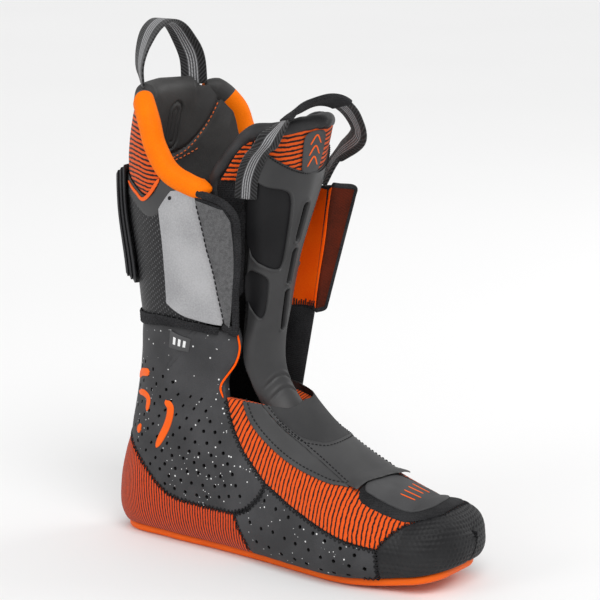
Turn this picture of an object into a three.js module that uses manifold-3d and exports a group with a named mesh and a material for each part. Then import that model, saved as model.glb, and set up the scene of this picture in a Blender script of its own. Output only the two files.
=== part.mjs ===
// The padded inner boot of a right-foot alpine ski boot: sole board, foam and knit panels, cuff with
// two closing wings, collar, calf pads, removable calf shim, hinged tongue with its moulded shield,
// and the two webbing pull loops.
//
// Frame: millimetres, +Z up, toe towards -Y, lateral side towards -X, origin on the underside of the
// sole below the ankle. "Forward" below is the distance towards the toe, which is -Y.

import * as THREE from "three";
import { mergeVertices } from "three/addons/utils/BufferGeometryUtils.js";
import Module from "manifold-3d";

const wasm = await Module();
wasm.setup();

// ---------------------------------------------------------------- driving dimensions, millimetres

const FOOT_LENGTH = 286; // heel to toe
const FOREFOOT_WIDTH = 96; // across the ball of the foot
const COLLAR_HEIGHT = 322; // sole to the top of the rear collar
const TOE_SPRING = 13; // how far the toe rises off a flat floor
const SPRING_START = 110; // forward distance where the toe starts to rise
const WALL = 8; // thickness of the foam wall
const SEAM = 0.7; // width of the open joint between two sewn panels
const GAP = 0.35; // clearance between cut faces that meet
const LAY = 0.7; // clearance under a thin layer that lies on a curved wall
const SOLE_THICKNESS = 6;
const SOLE_LIP = 1.4; // how far the sole's rim stands out beyond the wall
const INSOLE_THICKNESS = 4;
const SKIN = 0.9; // thin laminated textile or synthetic
const WING_THICKNESS = 2.4;
const BINDING_RADIUS = 1.7; // folded tape on the edges of the wings
const ROLL_THICKNESS = 13; // padded collar roll, across the wall
const ROLL_HEIGHT = 15; // padded collar roll, along the wall
const RIM_HEIGHT = 11; // leather rim at the back of the collar
const PAD_THICKNESS = 4.5; // calf pads inside the cuff
const TONGUE_THICKNESS = 8;
const TONGUE_TUCK = 9.5; // how deep the tongue's sides lie behind the cuff walls
const TONGUE_ROLL_RADIUS = 4; // padded edge around the tongue
const SHIELD_THICKNESS = 2.2;
const SHIM_THICKNESS = 6.5;
const REAR_WEBBING_WIDTH = 19;
const TONGUE_WEBBING_WIDTH = 15;
const WEBBING_THICKNESS = 1.6;

// ---------------------------------------------------------------- the last

// The foot and leg form is a row of slices from the toe (1) over the ankle to the collar (15). Each
// slice runs from a point on the sole or the back of the leg to a point on the front, written as
// [forward, height], with its half widths, the share of the way from back to front where it is
// widest, and the powers that round its front and back.
const SLICES = [
  { back: [180, 0], front: [176, 50], lateral: 40, medial: 41, widest: 0.42, round: [2.2, 3.6] },
  { back: [140, 0], front: [134, 70], lateral: 50, medial: 46, widest: 0.38, round: [2.1, 3.6] },
  { back: [100, 0], front: [101, 92], lateral: 47, medial: 42, widest: 0.36, round: [1.9, 3.4] },
  { back: [60, 0], front: [79, 113], lateral: 41, medial: 38, widest: 0.36, round: [1.9, 3.2] },
  { back: [18, 0], front: [66, 133], lateral: 37, medial: 35, widest: 0.38, round: [1.9, 3.0] },
  { back: [-28, 0], front: [61, 153], lateral: 36, medial: 34, widest: 0.42, round: [1.9, 2.7] },
  { back: [-68, 3], front: [59, 171], lateral: 35, medial: 34, widest: 0.46, round: [1.9, 2.3] },
  { back: [-75, 32], front: [60, 187], lateral: 34, medial: 34, widest: 0.5, round: [2, 2.1] },
  { back: [-61, 88], front: [63, 205], lateral: 35, medial: 36, widest: 0.52, round: [2, 2] },
  { back: [-53, 138], front: [69, 228], lateral: 38, medial: 39, widest: 0.5, round: [2.1, 2] },
  { back: [-55, 190], front: [77, 255], lateral: 46, medial: 46, widest: 0.5, round: [2.1, 2] },
  { back: [-58, 238], front: [84, 284], lateral: 54, medial: 53, widest: 0.5, round: [2.1, 2.1] },
  { back: [-55, 280], front: [89, 312], lateral: 60, medial: 59, widest: 0.5, round: [2.1, 2.1] },
  { back: [-47, 318], front: [93, 338], lateral: 62, medial: 61, widest: 0.5, round: [2.1, 2.1] },
  { back: [-41, 348], front: [96, 362], lateral: 62, medial: 62, widest: 0.5, round: [2.1, 2.1] },
];
const LAST_SLICE = SLICES.length;
const DRAWN = { length: 286, width: 96, height: 322 }; // the size that the slices are drawn at
const ALONG = FOOT_LENGTH / DRAWN.length;
const ACROSS = FOREFOOT_WIDTH / DRAWN.width;
const UP = COLLAR_HEIGHT / DRAWN.height;
const RIDGE_LEAN = 5; // the instep ridge lies this far to the medial side
const TOE_LEAN = 8; // and the tip of the toe this far
const TOE_DEPTH = 32; // from the first slice to the tip
const TOE_HEIGHT = 26; // height of the tip before the toe spring
const TOE_END = 212; // forward distance of the tip

const radians = (degrees) => (degrees * Math.PI) / 180;
const power = (value, exponent) => Math.sign(value) * Math.abs(value) ** exponent;
const { lerp } = THREE.MathUtils;
const smooth = (low, high, value) => THREE.MathUtils.smoothstep(value, low, high);
const place = (x, forward, height) => new THREE.Vector3(x * ACROSS, -forward * ALONG, height * UP);

// One number of the slices at a fractional slice, on a Catmull-Rom curve.
function between(slice, pick) {
  const at = THREE.MathUtils.clamp(slice, 1, LAST_SLICE);
  const index = Math.min(Math.floor(at), LAST_SLICE - 1);
  const u = at - index;
  const value = (i) => pick(SLICES[THREE.MathUtils.clamp(i, 1, LAST_SLICE) - 1]);
  const [a, b, c, d] = [value(index - 1), value(index), value(index + 1), value(index + 2)];
  const linear = (c - a) * u;
  const square = (2 * a - 5 * b + 4 * c - d) * u ** 2;
  const cube = (3 * b - a - 3 * c + d) * u ** 3;
  return (2 * b + linear + square + cube) / 2;
}

const toeRise = (forward) =>
  TOE_SPRING * (Math.max(0, forward - SPRING_START) / (TOE_END - SPRING_START)) ** 2;

// A point of the last. The angle goes round a slice from 0 at the front or instep to 180 at the back
// or sole, negative on the lateral side. Slices from 0 to 1 close the toe.
function lastPoint(slice, angle) {
  const back = [between(slice, (s) => s.back[0]), between(slice, (s) => s.back[1])];
  const front = [between(slice, (s) => s.front[0]), between(slice, (s) => s.front[1])];
  const widest = between(slice, (s) => s.widest);
  const reach = Math.hypot(front[0] - back[0], front[1] - back[1]);
  const cos = Math.cos(radians(angle));
  const sin = Math.sin(radians(angle));
  const exponent = 2 / between(slice, (s) => s.round[cos > 0 ? 0 : 1]);
  const half = between(slice, (s) => (sin < 0 ? s.lateral : s.medial));
  const rise = widest + power(cos, exponent) * (cos > 0 ? 1 - widest : widest);
  let x = half * power(sin, exponent) + RIDGE_LEAN * (0.5 + 0.5 * cos);
  let forward = back[0] + (front[0] - back[0]) * rise;
  let height = back[1] + (front[1] - back[1]) * rise;
  if (slice < 1) {
    const turn = (slice * Math.PI) / 2;
    const shrink = Math.sin(turn) ** 0.87;
    const flatten = height > TOE_HEIGHT ? shrink : Math.sin(turn) ** 0.5;
    x = x * shrink + TOE_LEAN * (1 - shrink);
    forward += TOE_DEPTH * Math.cos(turn) ** 0.87;
    height = TOE_HEIGHT + (height - TOE_HEIGHT) * flatten;
  }
  return place(x, forward, height + toeRise(forward));
}

// The last grown outward by a depth, or shrunk where the depth is negative.
function skin(slice, angle, depth) {
  const step = 0.04;
  const from = Math.max(slice, step);
  const lengthways = lastPoint(from + step, angle).sub(lastPoint(from - step, angle));
  const round = lastPoint(from, angle + 2).sub(lastPoint(from, angle - 2));
  const normal = lengthways.cross(round).normalize();
  return lastPoint(slice, angle).addScaledVector(normal, -depth);
}

// ---------------------------------------------------------------- solids

// A manifold from corner points and triangles, with its faces turned outward.
function solid(points, triangles) {
  const volume = triangles.reduce((sum, [a, b, c]) => {
    return sum + points[a].dot(new THREE.Vector3().crossVectors(points[b], points[c]));
  }, 0);
  const outward = volume < 0 ? triangles.map(([a, b, c]) => [a, c, b]) : triangles;
  const vertProperties = new Float32Array(points.flatMap((p) => [p.x, p.y, p.z]));
  const triVerts = new Uint32Array(outward.flat());
  return new wasm.Manifold(new wasm.Mesh({ numProp: 3, vertProperties, triVerts }));
}

function solidOf(geometry) {
  geometry.deleteAttribute("normal");
  geometry.deleteAttribute("uv");
  const merged = mergeVertices(geometry, 1e-4);
  const position = merged.getAttribute("position");
  const points = [];
  for (let i = 0; i < position.count; i++) {
    points.push(new THREE.Vector3().fromBufferAttribute(position, i));
  }
  const triangles = [];
  const index = merged.getIndex().array;
  for (let i = 0; i < index.length; i += 3) {
    triangles.push([index[i], index[i + 1], index[i + 2]]);
  }
  return solid(points, triangles);
}

// A solid through closed rings of equal length, with a fan on each end.
function loft(rings) {
  const count = rings[0].length;
  const points = rings.flat();
  const triangles = [];
  for (let i = 0; i < rings.length - 1; i++) {
    for (let j = 0; j < count; j++) {
      const a = i * count + j;
      const b = i * count + ((j + 1) % count);
      triangles.push([a, b, b + count], [a, b + count, a + count]);
    }
  }
  const ends = [[rings[0], 0, true], [rings.at(-1), points.length - count, false]];
  for (const [ring, start, flip] of ends) {
    const middle = points.length;
    points.push(ring.reduce((sum, p) => sum.add(p), new THREE.Vector3()).divideScalar(count));
    for (let j = 0; j < count; j++) {
      const edge = [start + j, start + ((j + 1) % count)];
      triangles.push(flip ? [edge[1], edge[0], middle] : [edge[0], edge[1], middle]);
    }
  }
  return solid(points, triangles);
}

// A thin solid between two surfaces over the same (u, v) square.
function slabBetween(outerAt, innerAt, rows, columns) {
  const rings = [];
  for (let i = 0; i <= rows; i++) {
    const u = i / rows;
    const outer = [];
    const inner = [];
    for (let j = 0; j <= columns; j++) {
      outer.push(outerAt(u, j / columns));
      inner.unshift(innerAt(u, j / columns));
    }
    rings.push([...outer, ...inner]);
  }
  const points = rings.flat();
  const width = columns + 1;
  const count = 2 * width;
  const triangles = [];
  for (let i = 0; i < rows; i++) {
    for (let j = 0; j < count; j++) {
      const a = i * count + j;
      const b = i * count + ((j + 1) % count);
      triangles.push([a, b, b + count], [a, b + count, a + count]);
    }
  }
  for (let j = 0; j < columns; j++) {
    for (const [start, flip] of [[0, true], [rows * count, false]]) {
      const [a, b] = [start + j, start + j + 1];
      const [c, d] = [start + count - 1 - j, start + count - 2 - j];
      triangles.push(flip ? [b, a, c] : [a, b, c], flip ? [b, c, d] : [b, d, c]);
    }
  }
  return solid(points, triangles);
}

// A layer over the last, between two depths above a base depth. The region gives a slice and an angle
// for each (u, v) of its square.
function layer(region, [low, high], rows, columns, baseDepth = () => 0) {
  const at = (u, v, depth) => {
    const [slice, angle] = region(u, v);
    return skin(slice, angle, baseDepth(slice, angle) + depth);
  };
  return slabBetween((u, v) => at(u, v, high), (u, v) => at(u, v, low), rows, columns);
}

// A four-cornered region, from its bottom left, bottom right, top left and top right corners.
function corners(bottomLeft, bottomRight, topLeft, topRight) {
  return (u, v) =>
    [0, 1].map((i) => lerp(lerp(bottomLeft[i], bottomRight[i], v), lerp(topLeft[i], topRight[i], v), u));
}

// A sheet of constant thickness on any surface.
function sheet(pointAt, thickness, rows, columns) {
  const offset = (u, v, side) => {
    const step = 0.01;
    const lengthways = pointAt(Math.min(1, u + step), v).sub(pointAt(Math.max(0, u - step), v));
    const over = pointAt(u, Math.min(1, v + step)).sub(pointAt(u, Math.max(0, v - step)));
    return pointAt(u, v).addScaledVector(lengthways.cross(over).normalize(), side * thickness * 0.5);
  };
  return slabBetween((u, v) => offset(u, v, 1), (u, v) => offset(u, v, -1), rows, columns);
}

// A round tube along points.
function tube(points, radius, steps = 24, sides = 8) {
  const section = new THREE.Shape();
  for (let i = 0; i < sides; i++) {
    const turn = (i / sides) * 2 * Math.PI;
    const corner = [radius * Math.cos(turn), radius * Math.sin(turn)];
    if (i === 0) section.moveTo(...corner);
    else section.lineTo(...corner);
  }
  section.closePath();
  const extrudePath = new THREE.CatmullRomCurve3(points);
  return solidOf(new THREE.ExtrudeGeometry(section, { steps, extrudePath, bevelEnabled: false }));
}

// The whole last as one solid at a depth, from the tip of the toe to a slice above the collar.
const TOE_SLICES = [0.08, 0.2, 0.4, 0.65];
const ROUND_STEPS = 28;
function lastSolid(depth, top) {
  const slices = [...TOE_SLICES];
  for (let slice = 1; slice < top; slice += 0.5) slices.push(slice);
  slices.push(top);
  const ring = (slice) => {
    const points = [];
    for (let i = 0; i < ROUND_STEPS; i++) {
      points.push(skin(slice, (i / ROUND_STEPS) * 360 - 180, depth));
    }
    return points;
  };
  return loft(slices.map(ring));
}

// A block with its long faces divided, bent up with the toe spring.
function slab(bottom, top) {
  const block = new THREE.BoxGeometry(300, 480, top - bottom, 1, 60, 1);
  block.translate(0, -60, (bottom + top) / 2);
  const position = block.getAttribute("position");
  for (let i = 0; i < position.count; i++) {
    position.setZ(i, position.getZ(i) + toeRise(-position.getY(i) / ALONG) * UP);
  }
  return solidOf(block);
}

// A prism through one or both sides of the boot, from an outline of [forward, height] points.
const BOTH = [-150, 150];
const LATERAL = [-150, 0];
const MEDIAL = [0, 150];
function prism(outline, [from, to]) {
  const shape = new THREE.Shape(outline.map(([f, h]) => new THREE.Vector2(f * ALONG, h * UP)));
  const block = new THREE.ExtrudeGeometry(shape, { depth: to - from, bevelEnabled: false });
  const turn = new THREE.Matrix4().set(0, 0, 1, from, -1, 0, 0, 0, 0, 1, 0, 0, 0, 0, 0, 1);
  return solidOf(block.applyMatrix4(turn));
}

const curve = (points, count = 10) =>
  new THREE.SplineCurve(points.map(([f, h]) => new THREE.Vector2(f, h)))
    .getPoints(count)
    .map((p) => [p.x, p.y]);

// The open joint along a seam: a thin prism that follows the seam's curve.
function joint(points, side) {
  const edge = (sign) =>
    points.map(([f, h], i) => {
      const before = points[Math.max(0, i - 1)];
      const after = points[Math.min(points.length - 1, i + 1)];
      const run = [after[0] - before[0], after[1] - before[1]];
      const length = Math.hypot(...run);
      const shift = (sign * SEAM) / 2 / length;
      return [f - run[1] * shift, h + run[0] * shift];
    });
  return prism([...edge(1), ...edge(-1).reverse()], side);
}

// ---------------------------------------------------------------- scene graph

const liner = new THREE.Group();

function add(name, manifold, colour, roughness = 0.85, metalness = 0) {
  const mesh = manifold.getMesh();
  const geometry = new THREE.BufferGeometry();
  const positions = new Float32Array(mesh.vertProperties);
  geometry.setAttribute("position", new THREE.BufferAttribute(positions, 3));
  geometry.setIndex([...mesh.triVerts]);
  geometry.computeVertexNormals();
  const material = new THREE.MeshStandardMaterial({ color: colour, roughness, metalness });
  const piece = new THREE.Mesh(geometry, material);
  piece.name = name;
  liner.add(piece);
}

// The largest body of a cut, without the slivers that a seam can leave.
function largest(manifold) {
  const parts = manifold.decompose();
  return parts.reduce((best, part) => (part.volume() > best.volume() ? part : best));
}

const COLOURS = {
  orange: 0xff7a10,
  burntOrange: 0xe2541a,
  black: 0x1b1b1c,
  foam: 0x47484a,
  leather: 0x3c3b3b,
  overlay: 0x666667,
  shield: 0x5c5c5d,
  silver: 0xb9b9bb,
  webbing: 0x55555a,
};

// ---------------------------------------------------------------- seams, as [forward, height]

const HEEL_SEAM = curve([[-92, 78], [-62, 74], [-41, 58], [-17, 38.5], [10, 34.5], [43, 34]], 14);
const HEEL_FRONT_SEAM = curve([[43, 34], [47.5, 24], [53, 13], [58, -12]], 5);
const ANKLE_TOE_SEAM = curve([[43, 34], [56, 40], [67, 51], [70, 60]], 5);
const ANKLE_FRONT_SEAM = curve([[70, 60], [61, 67], [47, 80], [37.5, 96], [31, 113.5]], 8);
const FOREFOOT_SEAM = curve([[70, 60], [92, 50], [115, 41.5], [140, 34], [163, 30]], 9);
const TOE_SIDE_SEAM = curve([[163, 30], [164.5, 14], [166, -12]], 3);
const TOE_TOP_SEAM = curve([[163, 30], [168, 38], [176, 46], [189, 52], [198, 56], [204, 80]], 8);
const THROAT_LINE = curve([[31, 113.5], [45, 112.5], [60, 111], [74, 109], [90, 107]], 8);
const HEM_LINE = curve([[-92, 158], [-46, 160], [-14, 163], [12, 161.5], [30, 159.5], [60, 162]], 10);
const OPENING = curve(
  [[31, 113.5], [30, 126], [37, 139], [40, 151], [38, 163], [34, 175], [31, 205], [28, 240]]
    .concat([[28, 290]]),
  14,
);
const KNIT_SEAM = curve(
  [[-150, 266], [-55, 264], [-37, 260], [-19, 252], [-6, 262], [3, 285], [6, 330]],
  14,
);
const FAR = 300;
const LOW = -60;
const HIGH = 460;

const CENTRE_JOINT = solidOf(new THREE.BoxGeometry(SEAM, 600, 900));

// ---------------------------------------------------------------- sole and footbed

const wall = lastSolid(0, 14.9).subtract(lastSolid(-WALL, 15));
const upper = wall.subtract(slab(LOW, SOLE_THICKNESS + GAP));

add("sole_board", lastSolid(SOLE_LIP, 9).intersect(slab(0, SOLE_THICKNESS)), COLOURS.orange, 0.7);
const footbed = slab(SOLE_THICKNESS + GAP, SOLE_THICKNESS + GAP + INSOLE_THICKNESS);
add("insole", lastSolid(-WALL - GAP, 9).intersect(footbed), COLOURS.black);

// ---------------------------------------------------------------- foam and knit panels of the foot

let rest = upper;
function carve(outline, side, joints) {
  const region = prism(outline, side);
  const piece = rest.intersect(region);
  rest = rest.subtract(region);
  return largest(joints.reduce((cut, seam) => cut.subtract(joint(seam, side)), piece));
}

add(
  "heel_wrap",
  carve([...HEEL_SEAM, ...HEEL_FRONT_SEAM, [-92, LOW]], BOTH, [HEEL_SEAM, HEEL_FRONT_SEAM]),
  COLOURS.burntOrange,
);
add(
  "toe_cap",
  carve(
    [[166, LOW], ...TOE_SIDE_SEAM.toReversed(), ...TOE_TOP_SEAM, [FAR, 80], [FAR, LOW]],
    BOTH,
    [TOE_SIDE_SEAM, TOE_TOP_SEAM],
  ),
  COLOURS.black,
);
const sides = [
  { name: "lateral", sign: -1, half: LATERAL },
  { name: "medial", sign: 1, half: MEDIAL },
];
for (const { name, half } of sides) {
  const foam = carve(
    [...ANKLE_TOE_SEAM, ...FOREFOOT_SEAM, [176, 28], [176, LOW], [30, LOW], [30, 30]],
    half,
    [ANKLE_TOE_SEAM, FOREFOOT_SEAM, TOE_SIDE_SEAM, HEEL_FRONT_SEAM],
  );
  add("forefoot_foam_" + name, foam, COLOURS.foam);
}
add(
  "vamp_knit",
  carve(
    [...ANKLE_FRONT_SEAM, ...THROAT_LINE, [FAR, 107], [FAR, LOW], [70, LOW]],
    BOTH,
    [ANKLE_FRONT_SEAM, THROAT_LINE, FOREFOOT_SEAM, TOE_TOP_SEAM],
  ),
  COLOURS.burntOrange,
);

// ---------------------------------------------------------------- ankle and cuff

rest = rest.subtract(prism([...OPENING, [FAR, 290], [FAR, 107], ...THROAT_LINE.toReversed()], BOTH));
for (const { name, half } of sides) {
  const ankle = carve(
    [...HEM_LINE, [70, LOW], [-92, LOW]],
    half,
    [HEM_LINE, HEEL_SEAM, ANKLE_TOE_SEAM, ANKLE_FRONT_SEAM],
  );
  add("ankle_shell_" + name, largest(ankle.subtract(CENTRE_JOINT)), COLOURS.foam);
}

// The line of the collar, as [slice, angle from the front], down each side from the back.
const COLLAR_LINE = [[13.92, 150], [13.84, 134], [13.42, 119], [12.9, 110], [12.4, 100]]
  .concat([[12.08, 90], [11.86, 81], [11.78, 74]]);
const BACK_SLICE = 13.98;
const collarPoints = (sign) => {
  const line = new THREE.SplineCurve(COLLAR_LINE.map(([s, a]) => new THREE.Vector2(s, a * sign)));
  return line.getPoints(14).map((p) => [p.x, p.y]);
};
const rimPoints = [];
for (let angle = 152; angle <= 208; angle += 8) rimPoints.push([BACK_SLICE, angle]);

// A padded roll along a line of slices and angles, astride the edge of the wall.
function roll(line, height, grow, taper) {
  const centre = line.map(([s, a]) => skin(s, a, -WALL / 2));
  const rings = line.map(([s, a], i) => {
    const outward = skin(s, a, 5).sub(skin(s, a, 0)).normalize();
    const before = centre[Math.max(0, i - 1)];
    const after = centre[Math.min(line.length - 1, i + 1)];
    const upward = after.clone().sub(before).cross(outward).normalize();
    const full = taper ? Math.sqrt(Math.min(1, (line.length - 0.6 - i) / 4)) : 1;
    const ring = [];
    for (let k = 0; k < 12; k++) {
      const turn = (k / 12) * 2 * Math.PI;
      const thick = (ROLL_THICKNESS / 2 + grow) * full * Math.cos(turn);
      const tall = (height / 2 + grow) * full * Math.sin(turn);
      ring.push(centre[i].clone().addScaledVector(outward, thick).addScaledVector(upward, tall));
    }
    return ring;
  });
  return loft(rings);
}

const aboveCollar = (sign, half) => {
  const line = collarPoints(sign).map(([s, a]) => skin(s, a, 0));
  const outline = line.map((p) => [-p.y / ALONG, p.z / UP]);
  const [first, last] = [outline[0], outline.at(-1)];
  return prism([[-150, first[1]], ...outline, [FAR, last[1]], [FAR, HIGH], [-150, HIGH]], half);
};
const rim = (grow) => roll(rimPoints, RIM_HEIGHT, grow, false);
add("collar_rim", rim(0), COLOURS.leather, 0.6);
rest = rest.subtract(rim(GAP));
for (const { name, sign, half } of sides) {
  const points = collarPoints(sign);
  const padded = roll(points, ROLL_HEIGHT, 0, true).subtract(rim(GAP));
  add("collar_roll_" + name, padded, COLOURS.orange, 0.6);
  rest = rest.subtract(aboveCollar(sign, half)).subtract(roll(points, ROLL_HEIGHT, GAP, true));
}
const knit = carve([...KNIT_SEAM, [6, HIGH], [-150, HIGH]], BOTH, [KNIT_SEAM]);
add("collar_knit", knit, COLOURS.burntOrange);
for (const { name, half } of sides) {
  const block = [[-150, 150], [FAR, 150], [FAR, HIGH], [-150, HIGH]];
  const cuff = carve(block, half, [HEM_LINE, KNIT_SEAM]);
  add("cuff_" + name, largest(cuff.subtract(CENTRE_JOINT)), COLOURS.black, 0.7);
}

// A value at a position along a short list of [position, value] stops.
function along(stops, position) {
  const next = stops.findIndex(([at]) => at >= position);
  if (next === 0) return stops[0][1];
  if (next < 0) return stops.at(-1)[1];
  const [[a, low], [b, high]] = [stops[next - 1], stops[next]];
  return lerp(low, high, (position - a) / (b - a));
}

const TAPE_THICKNESS = 1.2;
const HEM_TAPE_END = 64; // the tape stops here, measured from the front
const HEM_SLICES = [[58, 8.34], [83, 9.14], [108, 9.88], [152, 10.34], [180, 10.38]];
const hemSlice = (angle) => along(HEM_SLICES, Math.min(angle, 360 - angle));
const hemRegion = (u, v) => {
  const angle = lerp(HEM_TAPE_END, 360 - HEM_TAPE_END, u);
  return [hemSlice(angle) + lerp(-0.14, 0.14, v), angle];
};
add("cuff_hem_tape", layer(hemRegion, [LAY, LAY + TAPE_THICKNESS], 28, 1), COLOURS.black, 0.8);

const badgeCorners = [[9.32, -106], [8.76, -87], [9.66, -106], [9.02, -87]];
add("size_badge", layer(corners(...badgeCorners), [LAY, LAY + SKIN], 2, 3), 0x2b2b2c, 0.5);

// ---------------------------------------------------------------- calf pads and shim

const insidePad = ([low, high], reach) =>
  corners([low, 180 - reach], [low, 180 + reach], [high, 180 - reach], [high, 180 + reach]);
const padDepths = [-WALL - LAY - PAD_THICKNESS, -WALL - LAY];
const upperPad = layer(insidePad([12.02, 13.55], 72), padDepths, 5, 12);
let trimmedPad = upperPad.subtract(rim(GAP));
for (const { sign, half } of sides) {
  trimmedPad = trimmedPad.subtract(roll(collarPoints(sign), ROLL_HEIGHT, GAP, true));
  trimmedPad = trimmedPad.subtract(aboveCollar(sign, half));
}
add("calf_pad_upper", largest(trimmedPad), COLOURS.leather, 0.6);
add("calf_pad_lower", layer(insidePad([10.1, 11.94], 68), padDepths, 5, 12), COLOURS.leather, 0.6);

const STRIP_THICKNESS = 1;
const SHIM_REACH = 37;
const stripDepths = [LAY, LAY + STRIP_THICKNESS];
const shimBack = 2 * LAY + STRIP_THICKNESS;
const shimDepths = [shimBack, shimBack + SHIM_THICKNESS];
add("shim_hook_strip", layer(insidePad([11.1, 12.2], 24), stripDepths, 4, 6), 0x202021, 0.9);
add("calf_shim", layer(insidePad([10.82, 12.66], SHIM_REACH), shimDepths, 6, 10), 0x333334, 0.7);

// ---------------------------------------------------------------- inlays on the ankle

// A raised strip along a line of slices and angles.
function stripe(line, width, depth, thickness) {
  const path = new THREE.SplineCurve(line.map(([s, a]) => new THREE.Vector2(s, a)));
  const at = (u) => path.getPoint(THREE.MathUtils.clamp(u, 0, 1));
  const pointAt = (u, v) => {
    const here = at(u);
    const point = skin(here.x, here.y, depth + thickness / 2);
    const outward = skin(here.x, here.y, depth + 5).sub(point).normalize();
    const before = at(u - 0.02);
    const after = at(u + 0.02);
    const run = skin(after.x, after.y, depth).sub(skin(before.x, before.y, depth)).normalize();
    const taper = Math.sqrt(1 - 0.9 * Math.abs(2 * u - 1) ** 4);
    return point.addScaledVector(run.cross(outward), (v - 0.5) * width * taper);
  };
  return sheet(pointAt, thickness, 2 * line.length, 1);
}

const INLAYS = [
  { name: "dash", width: 5, line: [[9.42, -151], [9.38, -140], [9.24, -127]] },
  { name: "hook", width: 4, line: [[9.1, -141], [8.9, -128], [8.65, -119], [8.5, -120]] },
  { name: "dot", width: 6, line: [[8.38, -127], [8.32, -124], [8.26, -121]] },
  { name: "arc", width: 5.5, line: [[8.18, -98], [7.8, -93], [7.5, -93], [7.34, -100]] },
];
for (const { name, width, line } of INLAYS) {
  for (const { name: side, sign } of sides) {
    const mirrored = line.map(([s, a]) => [s, -a * sign]);
    add("inlay_" + name + "_" + side, stripe(mirrored, width, LAY, SKIN), COLOURS.orange, 0.6);
  }
}

// ---------------------------------------------------------------- vamp overlay and toe badge

const OVERLAY_EDGE = [[1.9, 36], [2.2, 39], [2.5, 44], [3.1, 50], [3.9, 54], [4.9, 55], [5.9, 53]];
const STITCH_LINE = [[1.8, 36], [2.6, 34], [3.3, 36], [4, 40], [5.1, 43], [6, 45]];
const FRONT_EDGE = [[-36, 1.92], [-20, 1.87], [-5, 1.78], [9, 1.72], [36, 1.86]];
const overlayDepths = [LAY, LAY + SKIN];
const throatEdge = (shift) => [[0, 113.5 + shift], ...THROAT_LINE.map(([f, h]) => [f, h + shift])];
const aboveThroat = prism([...throatEdge(-GAP), [FAR, 107], [FAR, HIGH], [0, HIGH]], BOTH);
const uCut = (slice) => 40 * Math.sqrt(Math.max(0.04, 1 - (Math.max(0, 4.6 - slice) / 1.74) ** 2));
for (const { name, sign } of sides) {
  const region = (u, v) => {
    const slice = lerp(2, 5.8, u);
    return [slice, sign * lerp(along(OVERLAY_EDGE, slice), along(STITCH_LINE, slice) + 0.6, v)];
  };
  const overlay = layer(region, overlayDepths, 12, 2);
  add("vamp_overlay_" + name, overlay.subtract(aboveThroat), COLOURS.overlay, 0.5);
}
const centreRegion = (u, v) => {
  const front = along(FRONT_EDGE, lerp(-36, 36, v));
  const slice = lerp(front, 5.6, u);
  return [slice, lerp(-1, 1, v) * (along(STITCH_LINE, slice) - 0.6)];
};
const uRegion = (u, v) => {
  const slice = lerp(2.9, 6, u);
  return [slice, lerp(-1, 1, v) * uCut(slice)];
};
const instepRegion = (u, v) => {
  const slice = lerp(2.96, 6, u);
  return [slice, lerp(-1, 1, v) * (uCut(slice) - 2)];
};
const centrePanel = layer(centreRegion, overlayDepths, 14, 8).subtract(layer(uRegion, [-2, 4], 12, 6));
add("vamp_overlay_centre", largest(centrePanel.subtract(aboveThroat)), COLOURS.overlay, 0.5);
add("instep_panel", largest(layer(instepRegion, overlayDepths, 12, 6).subtract(aboveThroat)), 0x3a3a3b);
const toeBadgeCorners = [[0.84, -20], [0.84, 20], [1.66, -27], [1.5, 24]];
add("toe_badge", layer(corners(...toeBadgeCorners), overlayDepths, 6, 5), 0x2a2a2b, 0.6);

// ---------------------------------------------------------------- tongue

const TONGUE_WAIST = [[4, 26], [6, 31], [7.6, 33], [8.6, 42], [9.4, 48], [12, 52], [13, 52]];
const FLAP_EDGE = [[8.6, 60], [9.6, 68], [10.6, 73], [12, 75]];
const THROAT_GAP = 0.2; // the tongue's lower edge lies this far above the throat seam
const TONGUE_BOTTOM = 3.72;
const TONGUE_TOP = 12.92;
const tuckStart = (slice) => lerp(20, 36, smooth(8, 11, slice));
const tongueDepth = (slice, angle) => {
  const from = tuckStart(slice);
  return -0.5 - TONGUE_TUCK * smooth(from, from + 20, Math.abs(angle));
};
const bottomSlice = (angle) => TONGUE_BOTTOM + 2.6 * (Math.abs(angle) / 60) ** 2.2;
const shieldTop = (angle) => 11.58 + 0.7 * (angle / 40) ** 2;
const topSlice = (angle) => TONGUE_TOP - 0.9 * smooth(48, 78, Math.abs(angle));
const onTongue = (region, low, high, rows, columns) =>
  layer(region, [low, high], rows, columns, tongueDepth);

// A region across the tongue, between two slices that may follow the angle.
function across(lowAt, highAt, inset) {
  return (u, v) => {
    const side = lerp(-1, 1, v);
    const guess = lerp(bottomSlice(26 * side), highAt(0), u);
    const angle = side * (along(TONGUE_WAIST, guess) - inset);
    return [lerp(lowAt(angle), highAt(angle), u), angle];
  };
}
const belowThroat = prism([...throatEdge(THROAT_GAP), [FAR, 107], [FAR, LOW], [0, LOW]], BOTH);
const rollPoint = (slice, angle) =>
  skin(slice, angle, tongueDepth(slice, angle) - TONGUE_THICKNESS / 2);
const TOP_ROLL_END = 51;
const topRollPoints = [];
for (let step = -5; step <= 5; step++) {
  const angle = (step / 5) * TOP_ROLL_END;
  topRollPoints.push(rollPoint(topSlice(angle) - 0.04, angle));
}
const sideRollPoints = (sign) => {
  const points = [];
  for (let slice = 10; slice < 11.9; slice += 0.45) {
    points.push(rollPoint(slice, sign * along(FLAP_EDGE, slice)));
  }
  for (const angle of [70, 62, TOP_ROLL_END + 1.5]) {
    points.push(rollPoint(topSlice(angle) - 0.04, sign * angle));
  }
  return points;
};
const topRoll = (grow) => tube(topRollPoints, TONGUE_ROLL_RADIUS + grow, 18, 7);
const sideRoll = (sign, grow) => tube(sideRollPoints(sign), TONGUE_ROLL_RADIUS + grow, 14, 7);
const withoutRolls = (piece) =>
  piece.subtract(topRoll(GAP)).subtract(sideRoll(-1, GAP)).subtract(sideRoll(1, GAP));
const padRegion = across(bottomSlice, topSlice, 0);
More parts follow.
